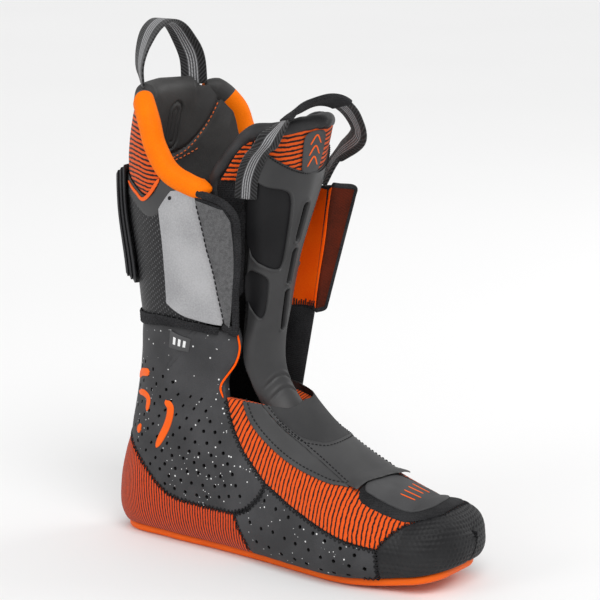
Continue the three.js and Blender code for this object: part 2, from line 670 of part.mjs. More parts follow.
const pad = onTongue(padRegion, -TONGUE_THICKNESS, 0, 16, 10).subtract(belowThroat);
add("tongue_pad", largest(withoutRolls(pad)), COLOURS.black, 0.9);
add("tongue_edge_roll", topRoll(0), COLOURS.black, 0.7);
for (const { name, sign } of sides) {
  const region = (u, v) => {
    const slice = lerp(8.8, 12.9, u);
    const inner = along(TONGUE_WAIST, slice) + 1 / ALONG;
    return [slice, sign * lerp(inner, along(FLAP_EDGE, slice), v)];
  };
  const flap = onTongue(region, -TONGUE_THICKNESS + 1, -1, 10, 3);
  add("tongue_flap_" + name, largest(withoutRolls(flap)), COLOURS.black, 0.9);
  const edge = sideRoll(sign, 0).subtract(topRoll(GAP));
  add("tongue_flap_roll_" + name, largest(edge), COLOURS.black, 0.7);
}

const shieldLow = LAY;
const shieldHigh = LAY + SHIELD_THICKNESS;
const shieldRegion = across((angle) => bottomSlice(angle) + 0.16, shieldTop, 1.5);
const upperWindow = (grow) => [
  [10.3 - grow, -46 - 14 * grow], [9 - grow, -9 + 14 * grow],
  [11.68 + grow, -43 - 14 * grow], [11.3 + grow, -17 + 14 * grow],
];
const lowerWindow = (grow) => [
  [8.55 - grow, -39 - 14 * grow], [8 - grow, -24 + 14 * grow],
  [9.9 + grow, -45 - 14 * grow], [9.1 + grow, -26 + 14 * grow],
];
const mirror = (points, sign) => points.map(([s, a]) => [s, -a * sign]);
let shield = onTongue(shieldRegion, shieldLow, shieldHigh, 16, 10).subtract(belowThroat);
for (const { name, sign } of sides) {
  for (const [level, window] of [["upper", upperWindow], ["lower", lowerWindow]]) {
    const hole = onTongue(corners(...mirror(window(0.03), sign)), -1, 6, 4, 3);
    const insert = onTongue(corners(...mirror(window(-0.01), sign)), 2 * LAY, 2 * LAY + SKIN, 4, 3);
    shield = shield.subtract(hole);
    add("shield_window_" + level + "_" + name, insert, 0x161617, 0.9);
  }
}
const SLOTS = [[6.6, 8.1], [8.35, 9.6], [9.8, 10.85]];
for (const [low, high] of SLOTS) {
  const slot = [[low, 0.5], [low, 5.5], [high, 0.5], [high, 5.5]];
  shield = shield.subtract(onTongue(corners(...slot), -1, 6, 3, 1));
}
add("tongue_shield", largest(shield), COLOURS.shield, 0.45);

const bandRegion = (u, v) => {
  const angle = lerp(-46, 46, v);
  return [lerp(shieldTop(angle) + 0.06, TONGUE_TOP - 0.22, u), angle];
};
const band = onTongue(bandRegion, LAY, LAY + SKIN, 4, 12);
add("tongue_knit_band", largest(withoutRolls(band)), COLOURS.burntOrange);
const labelCorners = [[11.72, -9], [11.72, 13], [12.66, -9], [12.66, 13]];
const labelLow = 2 * LAY + SKIN;
add("tongue_label", onTongue(corners(...labelCorners), labelLow, labelLow + SKIN, 4, 3), 0x4b4b4d, 0.6);

// ---------------------------------------------------------------- webbing loops

// Flat webbing along points, with the direction of its width turning from one stop to the next. A
// foot share below 1 narrows both ends, so that the loop can rock on its seams.
function webbing(points, faces, width, grow = 0, foot = 1) {
  const path = new THREE.CatmullRomCurve3(points);
  const steps = 2 * points.length;
  const stops = [];
  for (let i = 0; i <= steps; i++) stops.push([i / steps, i === 0 || i === steps ? foot : 1]);
  if (foot < 1) {
    stops.splice(1, 0, [FOOT_SHARE, 1]);
    stops.splice(-1, 0, [1 - FOOT_SHARE, 1]);
  }
  const rings = stops.map(([u, share]) => {
    const tangent = path.getTangent(u);
    const stop = u * (faces.length - 1);
    const index = Math.min(Math.floor(stop), faces.length - 2);
    const face = faces[index].clone().lerp(faces[index + 1], stop - index);
    const flat = face.addScaledVector(tangent, -face.dot(tangent)).normalize();
    const thick = tangent.clone().cross(flat).multiplyScalar(WEBBING_THICKNESS / 2 + grow);
    const half = flat.multiplyScalar(share * (width / 2 + grow));
    const middle = path.getPoint(u);
    return [[1, 1], [-1, 1], [-1, -1], [1, -1]].map(([a, b]) =>
      middle.clone().addScaledVector(half, a).addScaledVector(thick, b));
  });
  return loft(rings);
}
const FOOT_SHARE = 0.02; // of the webbing's length, over which its foot narrows
const direction = (x, forward, height) => new THREE.Vector3(x, -forward, height);

const rearFoot = (angle) =>
  skin(BACK_SLICE, angle, -WALL / 2).add(new THREE.Vector3(0, 0, RIM_HEIGHT / 2 + GAP));
const REAR_ROUTE = [
  [-28, -38, 336], [-19, -42, 349], [-6, -45, 361], [9, -46, 366.5],
  [21, -45, 362], [29, -42, 350], [32, -38, 338],
];
const rearPoints = [rearFoot(-151), ...REAR_ROUTE.map((p) => place(...p)), rearFoot(150)];
const rearFaces = [
  direction(-0.75, 0.65, 0), direction(-0.55, 0.8, 0), direction(-0.2, 0.97, 0), direction(0.05, 1, 0),
  direction(0.25, 0.95, 0), direction(0.35, 0.9, 0),
];
const rearLoop = webbing(rearPoints, rearFaces, REAR_WEBBING_WIDTH, 0, 0.15);
add("rear_pull_loop", rearLoop, COLOURS.webbing);

const legDepth = shieldHigh + 2 * LAY + WEBBING_THICKNESS / 2;
const leg = (slice, angle, depth) => skin(slice, angle, tongueDepth(slice, angle) + depth);
const LOOP_RISE = 12; // how high the loop passes over the tongue's edge roll
const overRoll = (x, forward, height) =>
  place(x, forward, height).add(new THREE.Vector3(0, 0, LOOP_RISE * (1 - UP)));
const tonguePoints = [
  leg(11.35, -41, legDepth), leg(11.8, -41, legDepth + 0.3), leg(12.3, -40, legDepth + 2),
  leg(12.75, -36, legDepth + 5), overRoll(-24, 86, 318), overRoll(-12, 91, 324),
  overRoll(2, 95, 326), overRoll(16, 99, 321), overRoll(28, 101, 310), overRoll(36, 100, 295),
  leg(12.1, 39, legDepth + 8), leg(11.75, 40, legDepth + 3), leg(11.35, 41, legDepth),
];
const tongueFaces = [
  direction(0.5, 0.85, 0), direction(0.5, 0.8, 0.2), direction(0.3, 0.6, 0.6), direction(0, 0.9, 0.4),
  direction(-0.3, 0.9, 0.2), direction(-0.5, 0.85, 0), direction(-0.5, 0.85, 0),
];
add("tongue_pull_loop", webbing(tonguePoints, tongueFaces, TONGUE_WEBBING_WIDTH), COLOURS.webbing);
const SLEEVE_WALL = 1;
const sleevePoints = tonguePoints.slice(4, 8);
const sleeveFaces = tongueFaces.slice(2, 5);
const sleeve = webbing(sleevePoints, sleeveFaces, TONGUE_WEBBING_WIDTH, GAP + SLEEVE_WALL);
const sleeveHole = webbing(tonguePoints, tongueFaces, TONGUE_WEBBING_WIDTH, GAP);
add("tongue_loop_sleeve", largest(sleeve.subtract(sleeveHole)), COLOURS.black, 0.6);

// ---------------------------------------------------------------- wings

const HINGE_LATERAL = [[8.4, -58.5], [9.6, -69.5], [10.67, -77], [11.9, -82.5]];
const FREE_LATERAL = [[8, -50.5], [9.3, -53], [10.5, -54], [11.05, -55.5], [11.4, -62]];
const wingDepths = [LAY, LAY + WING_THICKNESS];
const ROLL_STANDOFF = 2.5; // how far the collar roll stands out beyond the wall
const wingLift = 0.06 * (ROLL_STANDOFF - (ROLL_THICKNESS - WALL) / 2); // slices up to the roll
const wingRegion = (inset) => (u, v) => {
  const low = lerp(8.62, 8.08, v) + inset / 30;
  const high = lerp(11.78, 11.38, v) - inset / 30 + wingLift;
  const slice = lerp(low, high, u);
  const angle = lerp(along(HINGE_LATERAL, slice) + inset, along(FREE_LATERAL, slice) - inset, v);
  return [slice, angle];
};
const border = (depth) => {
  const line = [[8.55, -60], [8.3, -55], [8.02, -49.5]];
  for (const [slice, angle] of FREE_LATERAL.slice(1)) line.push([slice, angle + 1.5]);
  line.push([11.62 + wingLift, -71], [11.82 + wingLift, -80]);
  return line.map(([s, a]) => skin(s, a, depth));
};
const edgeTape = (grow) => tube(border(LAY + WING_THICKNESS / 2 + 0.4), BINDING_RADIUS + grow, 26, 6);
const collarEnd = roll(collarPoints(-1), ROLL_HEIGHT, GAP, true);
const wing = layer(wingRegion(0), wingDepths, 10, 3).subtract(edgeTape(GAP)).subtract(collarEnd);
add("wing_lateral", largest(wing), 0x8a8a8c, 0.7);
add("wing_binding_lateral", largest(edgeTape(0).subtract(collarEnd)), COLOURS.black, 0.8);
const patchDepths = [LAY + WING_THICKNESS + LAY, LAY + WING_THICKNESS + LAY + SKIN / 2];
add("reflective_patch_wing", layer(wingRegion(3), patchDepths, 6, 2), COLOURS.silver, 0.3, 0.4);
const cuffPatch = corners([10.14, -110], [8.88, -67], [11.7, -106], [11.45, -86]);
add("reflective_patch_cuff", layer(cuffPatch, [LAY, LAY + SKIN / 2], 7, 4), COLOURS.silver, 0.3, 0.4);

const HINGE_MEDIAL = [place(41, 60, 166), place(52, 67, 254)];
const FREE_MEDIAL = [place(49, 63, 167), place(71, 74, 250)];
const hingeMedial = (u) => HINGE_MEDIAL[0].clone().lerp(HINGE_MEDIAL[1], u);
const freeMedial = (u) => FREE_MEDIAL[0].clone().lerp(FREE_MEDIAL[1], u);
const HINGE_SLOT = 1.6; // open strip along the medial fold line
const foldWidth = (a, b) => HINGE_SLOT / a.distanceTo(b);
const medialWingAt = (u, v) => {
  const [a, b] = [hingeMedial(u), freeMedial(u)];
  return a.clone().lerp(b, lerp(foldWidth(a, b), 1, v));
};
const medialBorder = (grow) => {
  const points = [medialWingAt(0, 0.1), medialWingAt(0, 0.9), medialWingAt(0.04, 1)];
  for (let u = 0.2; u < 0.95; u += 0.24) points.push(medialWingAt(u, 1));
  points.push(medialWingAt(1, 0.94), medialWingAt(1, 0.3), medialWingAt(1, 0.05));
  return tube(points, BINDING_RADIUS + grow, 26, 6);
};
const medialWing = sheet(medialWingAt, WING_THICKNESS, 6, 2).subtract(medialBorder(GAP));
add("wing_medial", largest(medialWing), 0x7a3a22, 0.9);
add("wing_binding_medial", medialBorder(0), COLOURS.black, 0.8);

// The medial front of the cuff runs on past the wall, straight to the fold of its wing.
const LAPEL_THICKNESS = 2.6;
const LINING_THICKNESS = 1;
const lapelAt = (inward) => (u, v) => {
  const root = skin(lerp(8.75, 11.5, u), lerp(63, 76, u), LAPEL_THICKNESS / 2 + GAP);
  const fold = hingeMedial(u);
  const bow = 3 * Math.sin(Math.PI * v);
  const point = root.lerp(fold, v);
  return point.add(new THREE.Vector3(bow - inward, 0.5 * inward, 0));
};
add("lapel_medial", sheet(lapelAt(0), LAPEL_THICKNESS, 6, 4), 0x2a2a2b, 0.8);
const liningShift = LAPEL_THICKNESS / 2 + LINING_THICKNESS / 2 + LAY;
const liningAt = (u, v) => lapelAt(liningShift)(lerp(0.02, 0.98, u), lerp(0.45, 0.97, v));
add("lapel_lining_medial", sheet(liningAt, LINING_THICKNESS, 6, 3), COLOURS.orange, 0.7);
const ankleLapelAt = (u, v) => {
  const root = skin(lerp(6.2, 8.2, u), lerp(64, 62, u), LAPEL_THICKNESS / 2 + GAP);
  const fold = place(31, 58, 121).lerp(place(38, 61, 163), u);
  return root.lerp(fold, v).add(new THREE.Vector3(2 * Math.sin(Math.PI * v), 0, 0));
};
add("ankle_lapel_medial", sheet(ankleLapelAt, LAPEL_THICKNESS, 4, 3), COLOURS.black, 0.9);

const foldLine = [[6.35, -62], [6.72, -60], [6.82, -50], [7.2, -46.5], [7.9, -50]];
add("throat_fold_lateral", stripe(foldLine, 4, LAY, SKIN), COLOURS.burntOrange, 0.8);

export default liner;
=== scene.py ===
"""The looks of a padded ski-boot liner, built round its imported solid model.

Every surface is worked out in millimetres from one foot-and-leg form and turned into metres when a
piece is made. The toe points to -Y, the lateral side of this right foot to -X, and +Z is up.
"Forward" is the distance towards the toe, so it is -Y.
"""

import math

import bpy
import numpy as np
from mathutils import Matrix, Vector
from mathutils.kdtree import KDTree


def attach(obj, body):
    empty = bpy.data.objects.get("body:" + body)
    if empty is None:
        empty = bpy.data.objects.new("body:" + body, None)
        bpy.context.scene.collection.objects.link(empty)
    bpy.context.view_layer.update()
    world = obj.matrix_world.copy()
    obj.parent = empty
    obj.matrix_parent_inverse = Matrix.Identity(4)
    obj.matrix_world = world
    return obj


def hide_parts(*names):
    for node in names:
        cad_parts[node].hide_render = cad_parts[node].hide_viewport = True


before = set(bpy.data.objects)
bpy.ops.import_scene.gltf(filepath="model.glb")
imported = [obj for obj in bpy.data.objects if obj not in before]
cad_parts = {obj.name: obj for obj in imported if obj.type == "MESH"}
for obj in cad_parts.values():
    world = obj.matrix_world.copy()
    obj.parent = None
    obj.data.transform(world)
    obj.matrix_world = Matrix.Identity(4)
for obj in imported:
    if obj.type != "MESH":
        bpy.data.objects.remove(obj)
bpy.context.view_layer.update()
MM = 0.001
rng = np.random.default_rng(7)

# ---------------------------------------------------------------- sizes, millimetres

TOE_SPRING = 13
SPRING_START = 110
TOE_END = 212
WALL = 8
SEAM = 0.7
LAY = 0.7
SOLE_THICKNESS = 6
SOLE_LIP = 1.4
SKIN = 0.9
WING_THICKNESS = 2.4
BINDING_RADIUS = 1.9
RIM_HEIGHT = 11
PAD_THICKNESS = 4.5
TONGUE_THICKNESS = 8
TONGUE_TUCK = 9.5
SHIELD_THICKNESS = 2.2
SHIM_THICKNESS = 6.5
REAR_WEBBING_WIDTH = 19
TONGUE_WEBBING_WIDTH = 15

# About how many millimetres a slice is on the shin and on the foot, and how many a degree is.
SHIN_SLICE = 26
FOOT_SLICE = 24
DEGREE = 0.85

SIDES = (("lateral", -1), ("medial", 1))

# ---------------------------------------------------------------- the last

# Slices of the foot and leg form from the toe to the collar: back point and front point as forward
# and height, lateral and medial half widths, the widest share, and the front and back powers.
SLICES = np.array([
    [180, 0, 176, 50, 40, 41, 0.42, 2.2, 3.6],
    [140, 0, 134, 70, 50, 46, 0.38, 2.1, 3.6],
    [100, 0, 101, 92, 47, 42, 0.36, 1.9, 3.4],
    [60, 0, 79, 113, 41, 38, 0.36, 1.9, 3.2],
    [18, 0, 66, 133, 37, 35, 0.38, 1.9, 3.0],
    [-28, 0, 61, 153, 36, 34, 0.42, 1.9, 2.7],
    [-68, 3, 59, 171, 35, 34, 0.46, 1.9, 2.3],
    [-75, 32, 60, 187, 34, 34, 0.5, 2.0, 2.1],
    [-61, 88, 63, 205, 35, 36, 0.52, 2.0, 2.0],
    [-53, 138, 69, 228, 38, 39, 0.5, 2.1, 2.0],
    [-55, 190, 77, 255, 46, 46, 0.5, 2.1, 2.0],
    [-58, 238, 84, 284, 54, 53, 0.5, 2.1, 2.1],
    [-55, 280, 89, 312, 60, 59, 0.5, 2.1, 2.1],
    [-47, 318, 93, 338, 62, 61, 0.5, 2.1, 2.1],
    [-41, 348, 96, 362, 62, 62, 0.5, 2.1, 2.1],
])
RIDGE_LEAN = 5
TOE_LEAN = 8
TOE_DEPTH = 32
TOE_HEIGHT = 26


def smooth(low, high, value):
    share = np.clip((np.asarray(value, float) - low) / (high - low), 0, 1)
    return share * share * (3 - 2 * share)


def catmull(a, b, c, d, u):
    """A Catmull-Rom curve from b to c, with u from 0 to 1."""
    square = (2 * a - 5 * b + 4 * c - d) * u**2
    return (2 * b + (c - a) * u + square + (3 * b - a - 3 * c + d) * u**3) / 2


def between(at, column):
    """One number of the slices at fractional slices, on a Catmull-Rom curve."""
    at = np.clip(at, 1, len(SLICES))
    index = np.minimum(np.floor(at).astype(int), len(SLICES) - 1)
    values = [SLICES[np.clip(index + k, 1, len(SLICES)) - 1, column] for k in (-1, 0, 1, 2)]
    return catmull(*values, at - index)


def toe_rise(forward):
    reach = np.maximum(0, forward - SPRING_START) / (TOE_END - SPRING_START)
    return TOE_SPRING * reach**2


def last_point(at, angle):
    """Points of the last. The angle goes from 0 at the front to 180 at the back or sole, and is
    negative on the lateral side. Slices from 0 to 1 close the toe."""
    at, angle = np.broadcast_arrays(np.asarray(at, float), np.asarray(angle, float))
    cos, sin = np.cos(np.radians(angle)), np.sin(np.radians(angle))
    power = 2 / np.where(cos > 0, between(at, 7), between(at, 8))
    half = np.where(sin < 0, between(at, 4), between(at, 5))
    widest = between(at, 6)
    part = np.where(cos > 0, 1 - widest, widest)
    rise = widest + np.sign(cos) * np.abs(cos) ** power * part
    x = half * np.sign(sin) * np.abs(sin) ** power + RIDGE_LEAN * (0.5 + 0.5 * cos)
    forward = between(at, 0) + (between(at, 2) - between(at, 0)) * rise
    height = between(at, 1) + (between(at, 3) - between(at, 1)) * rise
    turn = np.clip(at, 0, 1) * np.pi / 2
    shrink = np.sin(turn) ** 0.87
    flatten = np.where(height > TOE_HEIGHT, shrink, np.sin(turn) ** 0.5)
    toe = at < 1
    x = np.where(toe, x * shrink + TOE_LEAN * (1 - shrink), x)
    forward = forward + np.where(toe, TOE_DEPTH * np.abs(np.cos(turn)) ** 0.87, 0)
    height = np.where(toe, TOE_HEIGHT + (height - TOE_HEIGHT) * flatten, height)
    return np.stack([x, -forward, height + toe_rise(forward)], -1)


def unit(vectors):
    return vectors / np.maximum(np.linalg.norm(vectors, axis=-1, keepdims=True), 1e-9)


def outward(at, angle):
    step = 0.04
    from_at = np.maximum(at, step)
    along = last_point(from_at + step, angle) - last_point(from_at - step, angle)
    round_it = last_point(from_at, angle + 2) - last_point(from_at, angle - 2)
    return -unit(np.cross(along, round_it))


def skin(at, angle, depth=0.0):
    """The last grown outward by a depth in millimetres."""
    at, angle, depth = np.broadcast_arrays(*(np.asarray(v, float) for v in (at, angle, depth)))
    return last_point(at, angle) + outward(at, angle) * depth[..., None]


# ---------------------------------------------------------------- outlines and fields


def spline(points, count=80):
    """A Catmull-Rom curve through points of any dimension, with even steps in its own parameter."""
    points = np.asarray(points, float)
    padded = np.vstack([2 * points[0] - points[1], points, 2 * points[-1] - points[-2]])
    at = np.linspace(0, len(points) - 1, count)
    index = np.minimum(at.astype(int), len(points) - 2)
    return catmull(*(padded[index + k] for k in range(4)), (at - index)[:, None])


def run_of(points):
    """The distance along a path at each of its points."""
    return np.r_[0, np.cumsum(np.linalg.norm(np.diff(points, axis=0), axis=1))]


def resampled(points, run, stops):
    """The path at some distances along it."""
    return np.stack([np.interp(stops, run, column) for column in points.T], -1)


def even(points, pitch):
    """The same path with points a pitch apart."""
    points = np.asarray(points, float)
    run = run_of(points)
    stops = np.linspace(0, run[-1], max(2, int(round(run[-1] / pitch)) + 1))
    return resampled(points, run, stops)


def outline_field(outline):
    """A signed distance to a closed outline, above 0 inside."""
    a = np.asarray(outline, float)
    b = np.roll(a, -1, 0)
    span = b - a
    length = np.maximum((span**2).sum(-1), 1e-12)

    def field(x, y):
        point = np.stack([x, y], -1)[..., None, :]
        share = np.clip(((point - a) * span).sum(-1) / length, 0, 1)
        gap = np.linalg.norm(point - (a + span * share[..., None]), axis=-1).min(-1)
        rise = np.where(np.abs(span[:, 1]) < 1e-9, 1e-9, span[:, 1])
        x, y = np.asarray(x)[..., None], np.asarray(y)[..., None]
        over = (a[:, 1] > y) != (b[:, 1] > y)
        left = x < span[:, 0] * (y - a[:, 1]) / rise + a[:, 0]
        return np.where((over & left).sum(-1) % 2 == 1, gap, -gap)

    return field


def side_field(outline):
    """A field of the last's points, from a side-view outline of forward and height."""
    field = outline_field(outline)
    return lambda at, angle, point: field(-point[..., 1], point[..., 2]) - SEAM / 2


def scaled_field(outline, per_slice, per_degree):
    """A field of slices and angles, roughly in millimetres."""
    points = np.asarray(outline, float) * [per_slice, per_degree]
    field = outline_field(points)
    return lambda at, angle, point=None: field(at * per_slice, angle * per_degree)


def one_side(sign, low, high):
    """The angles from low to high on the medial side, or the same ones on the lateral side."""
    return (low, high) if sign > 0 else (-high, -low)


def turn_over(points, sign):
    """A lateral line of slices and angles, on the side of the sign."""
    return [(at, -angle * sign) for at, angle in points]


def all_of(*fields):
    return lambda *where: np.min([field(*where) for field in fields], axis=0)


def smooth_corners(points, rounds=2):
    """An outline with its corners cut round."""
    points = np.asarray(points, float)
    for _ in range(rounds):
        after = np.roll(points, -1, 0)
        points = np.stack([0.78 * points + 0.22 * after, 0.22 * points + 0.78 * after], 1)
        points = points.reshape(-1, points.shape[-1])
    return points


# ---------------------------------------------------------------- meshes


def trimmed(at, angle, field):
    """The part of a grid where the field is above 0: points as slice and angle, and faces."""
    inside = field > 0
    rows, columns = field.shape
    index = np.cumsum(inside.ravel()).reshape(rows, columns) - 1
    points = [np.stack([at[inside], angle[inside]], -1)]
    corner = [inside[:-1, :-1], inside[:-1, 1:], inside[1:, 1:], inside[1:, :-1]]
    count = sum(c.astype(int) for c in corner)
    i, j = np.nonzero(count == 4)
    quads = np.stack([index[i, j], index[i, j + 1], index[i + 1, j + 1], index[i + 1, j]], -1)
    faces = quads.tolist()
    cuts = {}
    extra = []
    first = int(inside.sum())

    def cut(p, q):
        key = (p, q) if p < q else (q, p)
        if key not in cuts:
            p, q = key
            share = np.clip(field[p] / (field[p] - field[q]), 0.02, 0.98)
            cuts[key] = first + len(extra)
            extra.append([at[p] + (at[q] - at[p]) * share, angle[p] + (angle[q] - angle[p]) * share])
        return cuts[key]

    for i, j in zip(*np.nonzero((count > 0) & (count < 4))):
        around = [(i, j), (i, j + 1), (i + 1, j + 1), (i + 1, j)]
        face = []
        for p, q in zip(around, around[1:] + around[:1]):
            if inside[p]:
                face.append(int(index[p]))
            if inside[p] != inside[q]:
                face.append(cut(p, q))
        faces.append(face)
    if extra:
        points.append(np.array(extra))
    return np.vstack(points), faces


def grid_faces(rows, columns):
    """The quads of a grid of points."""
    index = np.arange(rows * columns).reshape(rows, columns)
    corners = [index[:-1, :-1], index[:-1, 1:], index[1:, 1:], index[1:, :-1]]
    return np.stack(corners, -1).reshape(-1, 4).tolist()


def grid_normals(points):
    return unit(np.cross(np.gradient(points, axis=0), np.gradient(points, axis=1)))


def tube_faces(rings, sides):
    """The quads between closed rings of points."""
    faces = []
    for i in range(0, (rings - 1) * sides, sides):
        for j in range(sides):
            n = (j + 1) % sides
            faces.append([i + j, i + n, i + sides + n, i + sides + j])
    return faces


def border_edges(faces):
    """The directed edges that only one face uses."""
    edges = {}
    for face in faces:
        for a, b in zip(face, face[1:] + face[:1]):
            edges[(a, b)] = True
    return [(a, b) for a, b in edges if (b, a) not in edges]


def loops_of(edges):
    """Border edges as closed loops of vertices."""
    after = dict(edges)
    loops = []
    while after:
        start, here = next(iter(after.items()))
        del after[start]
        loop = [start]
        while here != start and here in after:
            loop.append(here)
            here = after.pop(here)
        loops.append(loop)
    return loops


def edge_gap(points, border):
    """How far each point lies from the nearest border point."""
    tree = KDTree(len(border))
    for k, p in enumerate(border):
        tree.insert(p, k)
    tree.balance()
    return np.array([tree.find(p)[2] for p in points])


def placed(name, data):
    made = bpy.data.objects.new(name, data)
    bpy.context.scene.collection.objects.link(made)
    return made


def piece(name, points, faces, finishes, body, replaces=(), uv=None, finish_of=None, hard=45):
    """A mesh object in metres that rides on a body, with its finishes and mapping in millimetres."""
    mesh = bpy.data.meshes.new(name)
    mesh.from_pydata((np.asarray(points) * MM).tolist(), [], [list(map(int, f)) for f in faces])
    for finish in finishes if isinstance(finishes, (list, tuple)) else [finishes]:
        mesh.materials.append(finish)
    if uv is not None:
        layer = mesh.uv_layers.new(name="maker")
        corner = np.zeros(len(mesh.loops), int)
        mesh.loops.foreach_get("vertex_index", corner)
        layer.data.foreach_set("uv", np.asarray(uv)[corner].astype(np.float32).ravel())
    if finish_of is not None:
        mesh.polygons.foreach_set("material_index", np.asarray(finish_of, np.int32))
    mesh.polygons.foreach_set("use_smooth", np.ones(len(mesh.polygons), bool))
    mesh.update()
    mesh.set_sharp_from_angle(angle=math.radians(hard))
    made = placed(name, mesh)
    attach(made, body)
    if replaces:
        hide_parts(*replaces)
    return made


def facing(points, faces, normals):
    """The faces, turned so that they look along the normals."""
    total = 0.0
    for face in faces[:: max(1, len(faces) // 200)]:
        a, b, c = (points[v] for v in face[:3])
        total += float(np.dot(np.cross(b - a, c - a), normals[face[0]]))
    return faces if total > 0 else [face[::-1] for face in faces]


def punched(points, faces, normals, centres, radius, depth):
    """Round blind holes at grid points: each takes the place of the four cells round its centre."""
    users = {int(c): [] for c in centres}
    for k, face in enumerate(faces):
        for v in face:
            if v in users:
                users[v].append(k)
    gone = set()
    points = list(points)
    fresh = []
    for centre, around in users.items():
        if len(around) != 4 or any(len(faces[k]) != 4 for k in around) or gone & set(around):
            continue
        after = {}
        for k in around:
            face = faces[k]
            at = face.index(centre)
            after[face[(at + 1) % 4]] = face[(at + 2) % 4]
            after[face[(at + 2) % 4]] = face[(at + 3) % 4]
        ring = [next(iter(after))]
        while len(ring) < 8 and ring[-1] in after:
            ring.append(after[ring[-1]])
        if len(ring) != 8 or after.get(ring[-1]) != ring[0]:
            continue
        gone |= set(around)
        middle, normal = points[centre], normals[centre]
        arms = unit(np.array([points[v] - middle for v in ring]))
        first = len(points)
        points.extend(middle + arms * radius)
        points.extend(middle + arms * radius * 0.86 - normal * 0.35)
        points.extend(middle + arms * radius * 0.8 - normal * depth)
        for k in range(8):
            n = (k + 1) % 8
            fresh.append(([ring[k], ring[n], first + n, first + k], 0))
            fresh.append(([first + k, first + n, first + 8 + n, first + 8 + k], 1))
            fresh.append(([first + 8 + k, first + 8 + n, first + 16 + n, first + 16 + k], 1))
        fresh.append(([first + 16 + k for k in range(8)], 1))
    kept = [(face, 0) for k, face in enumerate(faces) if k not in gone]
    both = kept + fresh
    return np.array(points), [face for face, _ in both], [kind for _, kind in both]


def panel(name, slices, angles, step, field, finishes, replaces=(), body="liner", top=0.0,
          thickness=WALL, edge=1.2, relief=None, mapping=None, holes=None, puff=0.0, pinch=0.0,
          hard=45, paint=None):
    """A panel of the skin, cut out of a grid by a field, with rounded edges and a back. It returns
    the piece and its borders as outer points and outward directions."""
    middle_at, middle_angle = np.mean(slices), np.mean(angles)
    tall = last_point(np.linspace(*slices, 60), middle_angle)
    wide = last_point(middle_at, np.linspace(*angles, 60))
    rows = int(np.linalg.norm(np.diff(tall, axis=0), axis=1).sum() / step) + 2
    columns = int(np.linalg.norm(np.diff(wide, axis=0), axis=1).sum() / step) + 2
    at, angle = np.meshgrid(np.linspace(*slices, rows), np.linspace(*angles, columns), indexing="ij")
    points, faces = trimmed(at, angle, field(at, angle, last_point(at, angle)))
    at, angle = points.T
    base = top(at, angle) if callable(top) else np.full(len(at), float(top))
    normals = outward(at, angle)
    surface = last_point(at, angle) + normals * base[:, None]
    faces = facing(surface, faces, normals)
    edges = border_edges(faces)
    used = sorted({v for pair in edges for v in pair})
    gap = edge_gap(surface, surface[used])
    rounding = edge - np.sqrt(np.maximum(edge**2 - (edge - np.minimum(gap, edge)) ** 2, 0))
    lift = -rounding + puff * smooth(0, 14, gap) - pinch * np.exp(-((gap - 2.4) / 1.1) ** 2)
    if relief is not None:
        lift = lift + relief(at, angle, surface, gap)
    outer = surface + normals * lift[:, None]
    uv = mapping(at, angle, surface) if mapping else np.stack([at * 30, angle * 0.8], -1)
    kinds = [0] * len(faces)
    front = faces
    if holes is not None:
        centres = holes(at, angle, surface, gap)
        outer_all, front, kinds = punched(outer, faces, normals, centres, 1.4, 2.6)
        extra = outer_all[len(outer):]
    else:
        extra = np.zeros((0, 3))
    if paint is not None:
        kinds = [paint(at, angle, face) if kind == 0 else kind for face, kind in zip(front, kinds)]
    inner = surface - normals * (thickness - 0.25 * np.exp(-gap / 2))[:, None]
    count = len(outer)
    points_all = np.vstack([outer, extra, inner])
    shift = count + len(extra)
    back = [[v + shift for v in face[::-1]] for face in faces]
    sides = [[b, a, a + shift, b + shift] for a, b in edges]
    uv_all = np.vstack([uv, np.tile(uv.mean(0), (len(extra), 1)), uv])
    last = len(finishes) - 1 if isinstance(finishes, (list, tuple)) else 0
    kind_all = kinds + [last] * len(back) + [0] * len(sides)
    made = piece(name, points_all, front + back + sides, finishes, body, replaces, uv_all,
                 kind_all, hard)
    borders = [(outer[loop], normals[loop]) for loop in loops_of(edges) if len(loop) > 6]
    return made, borders


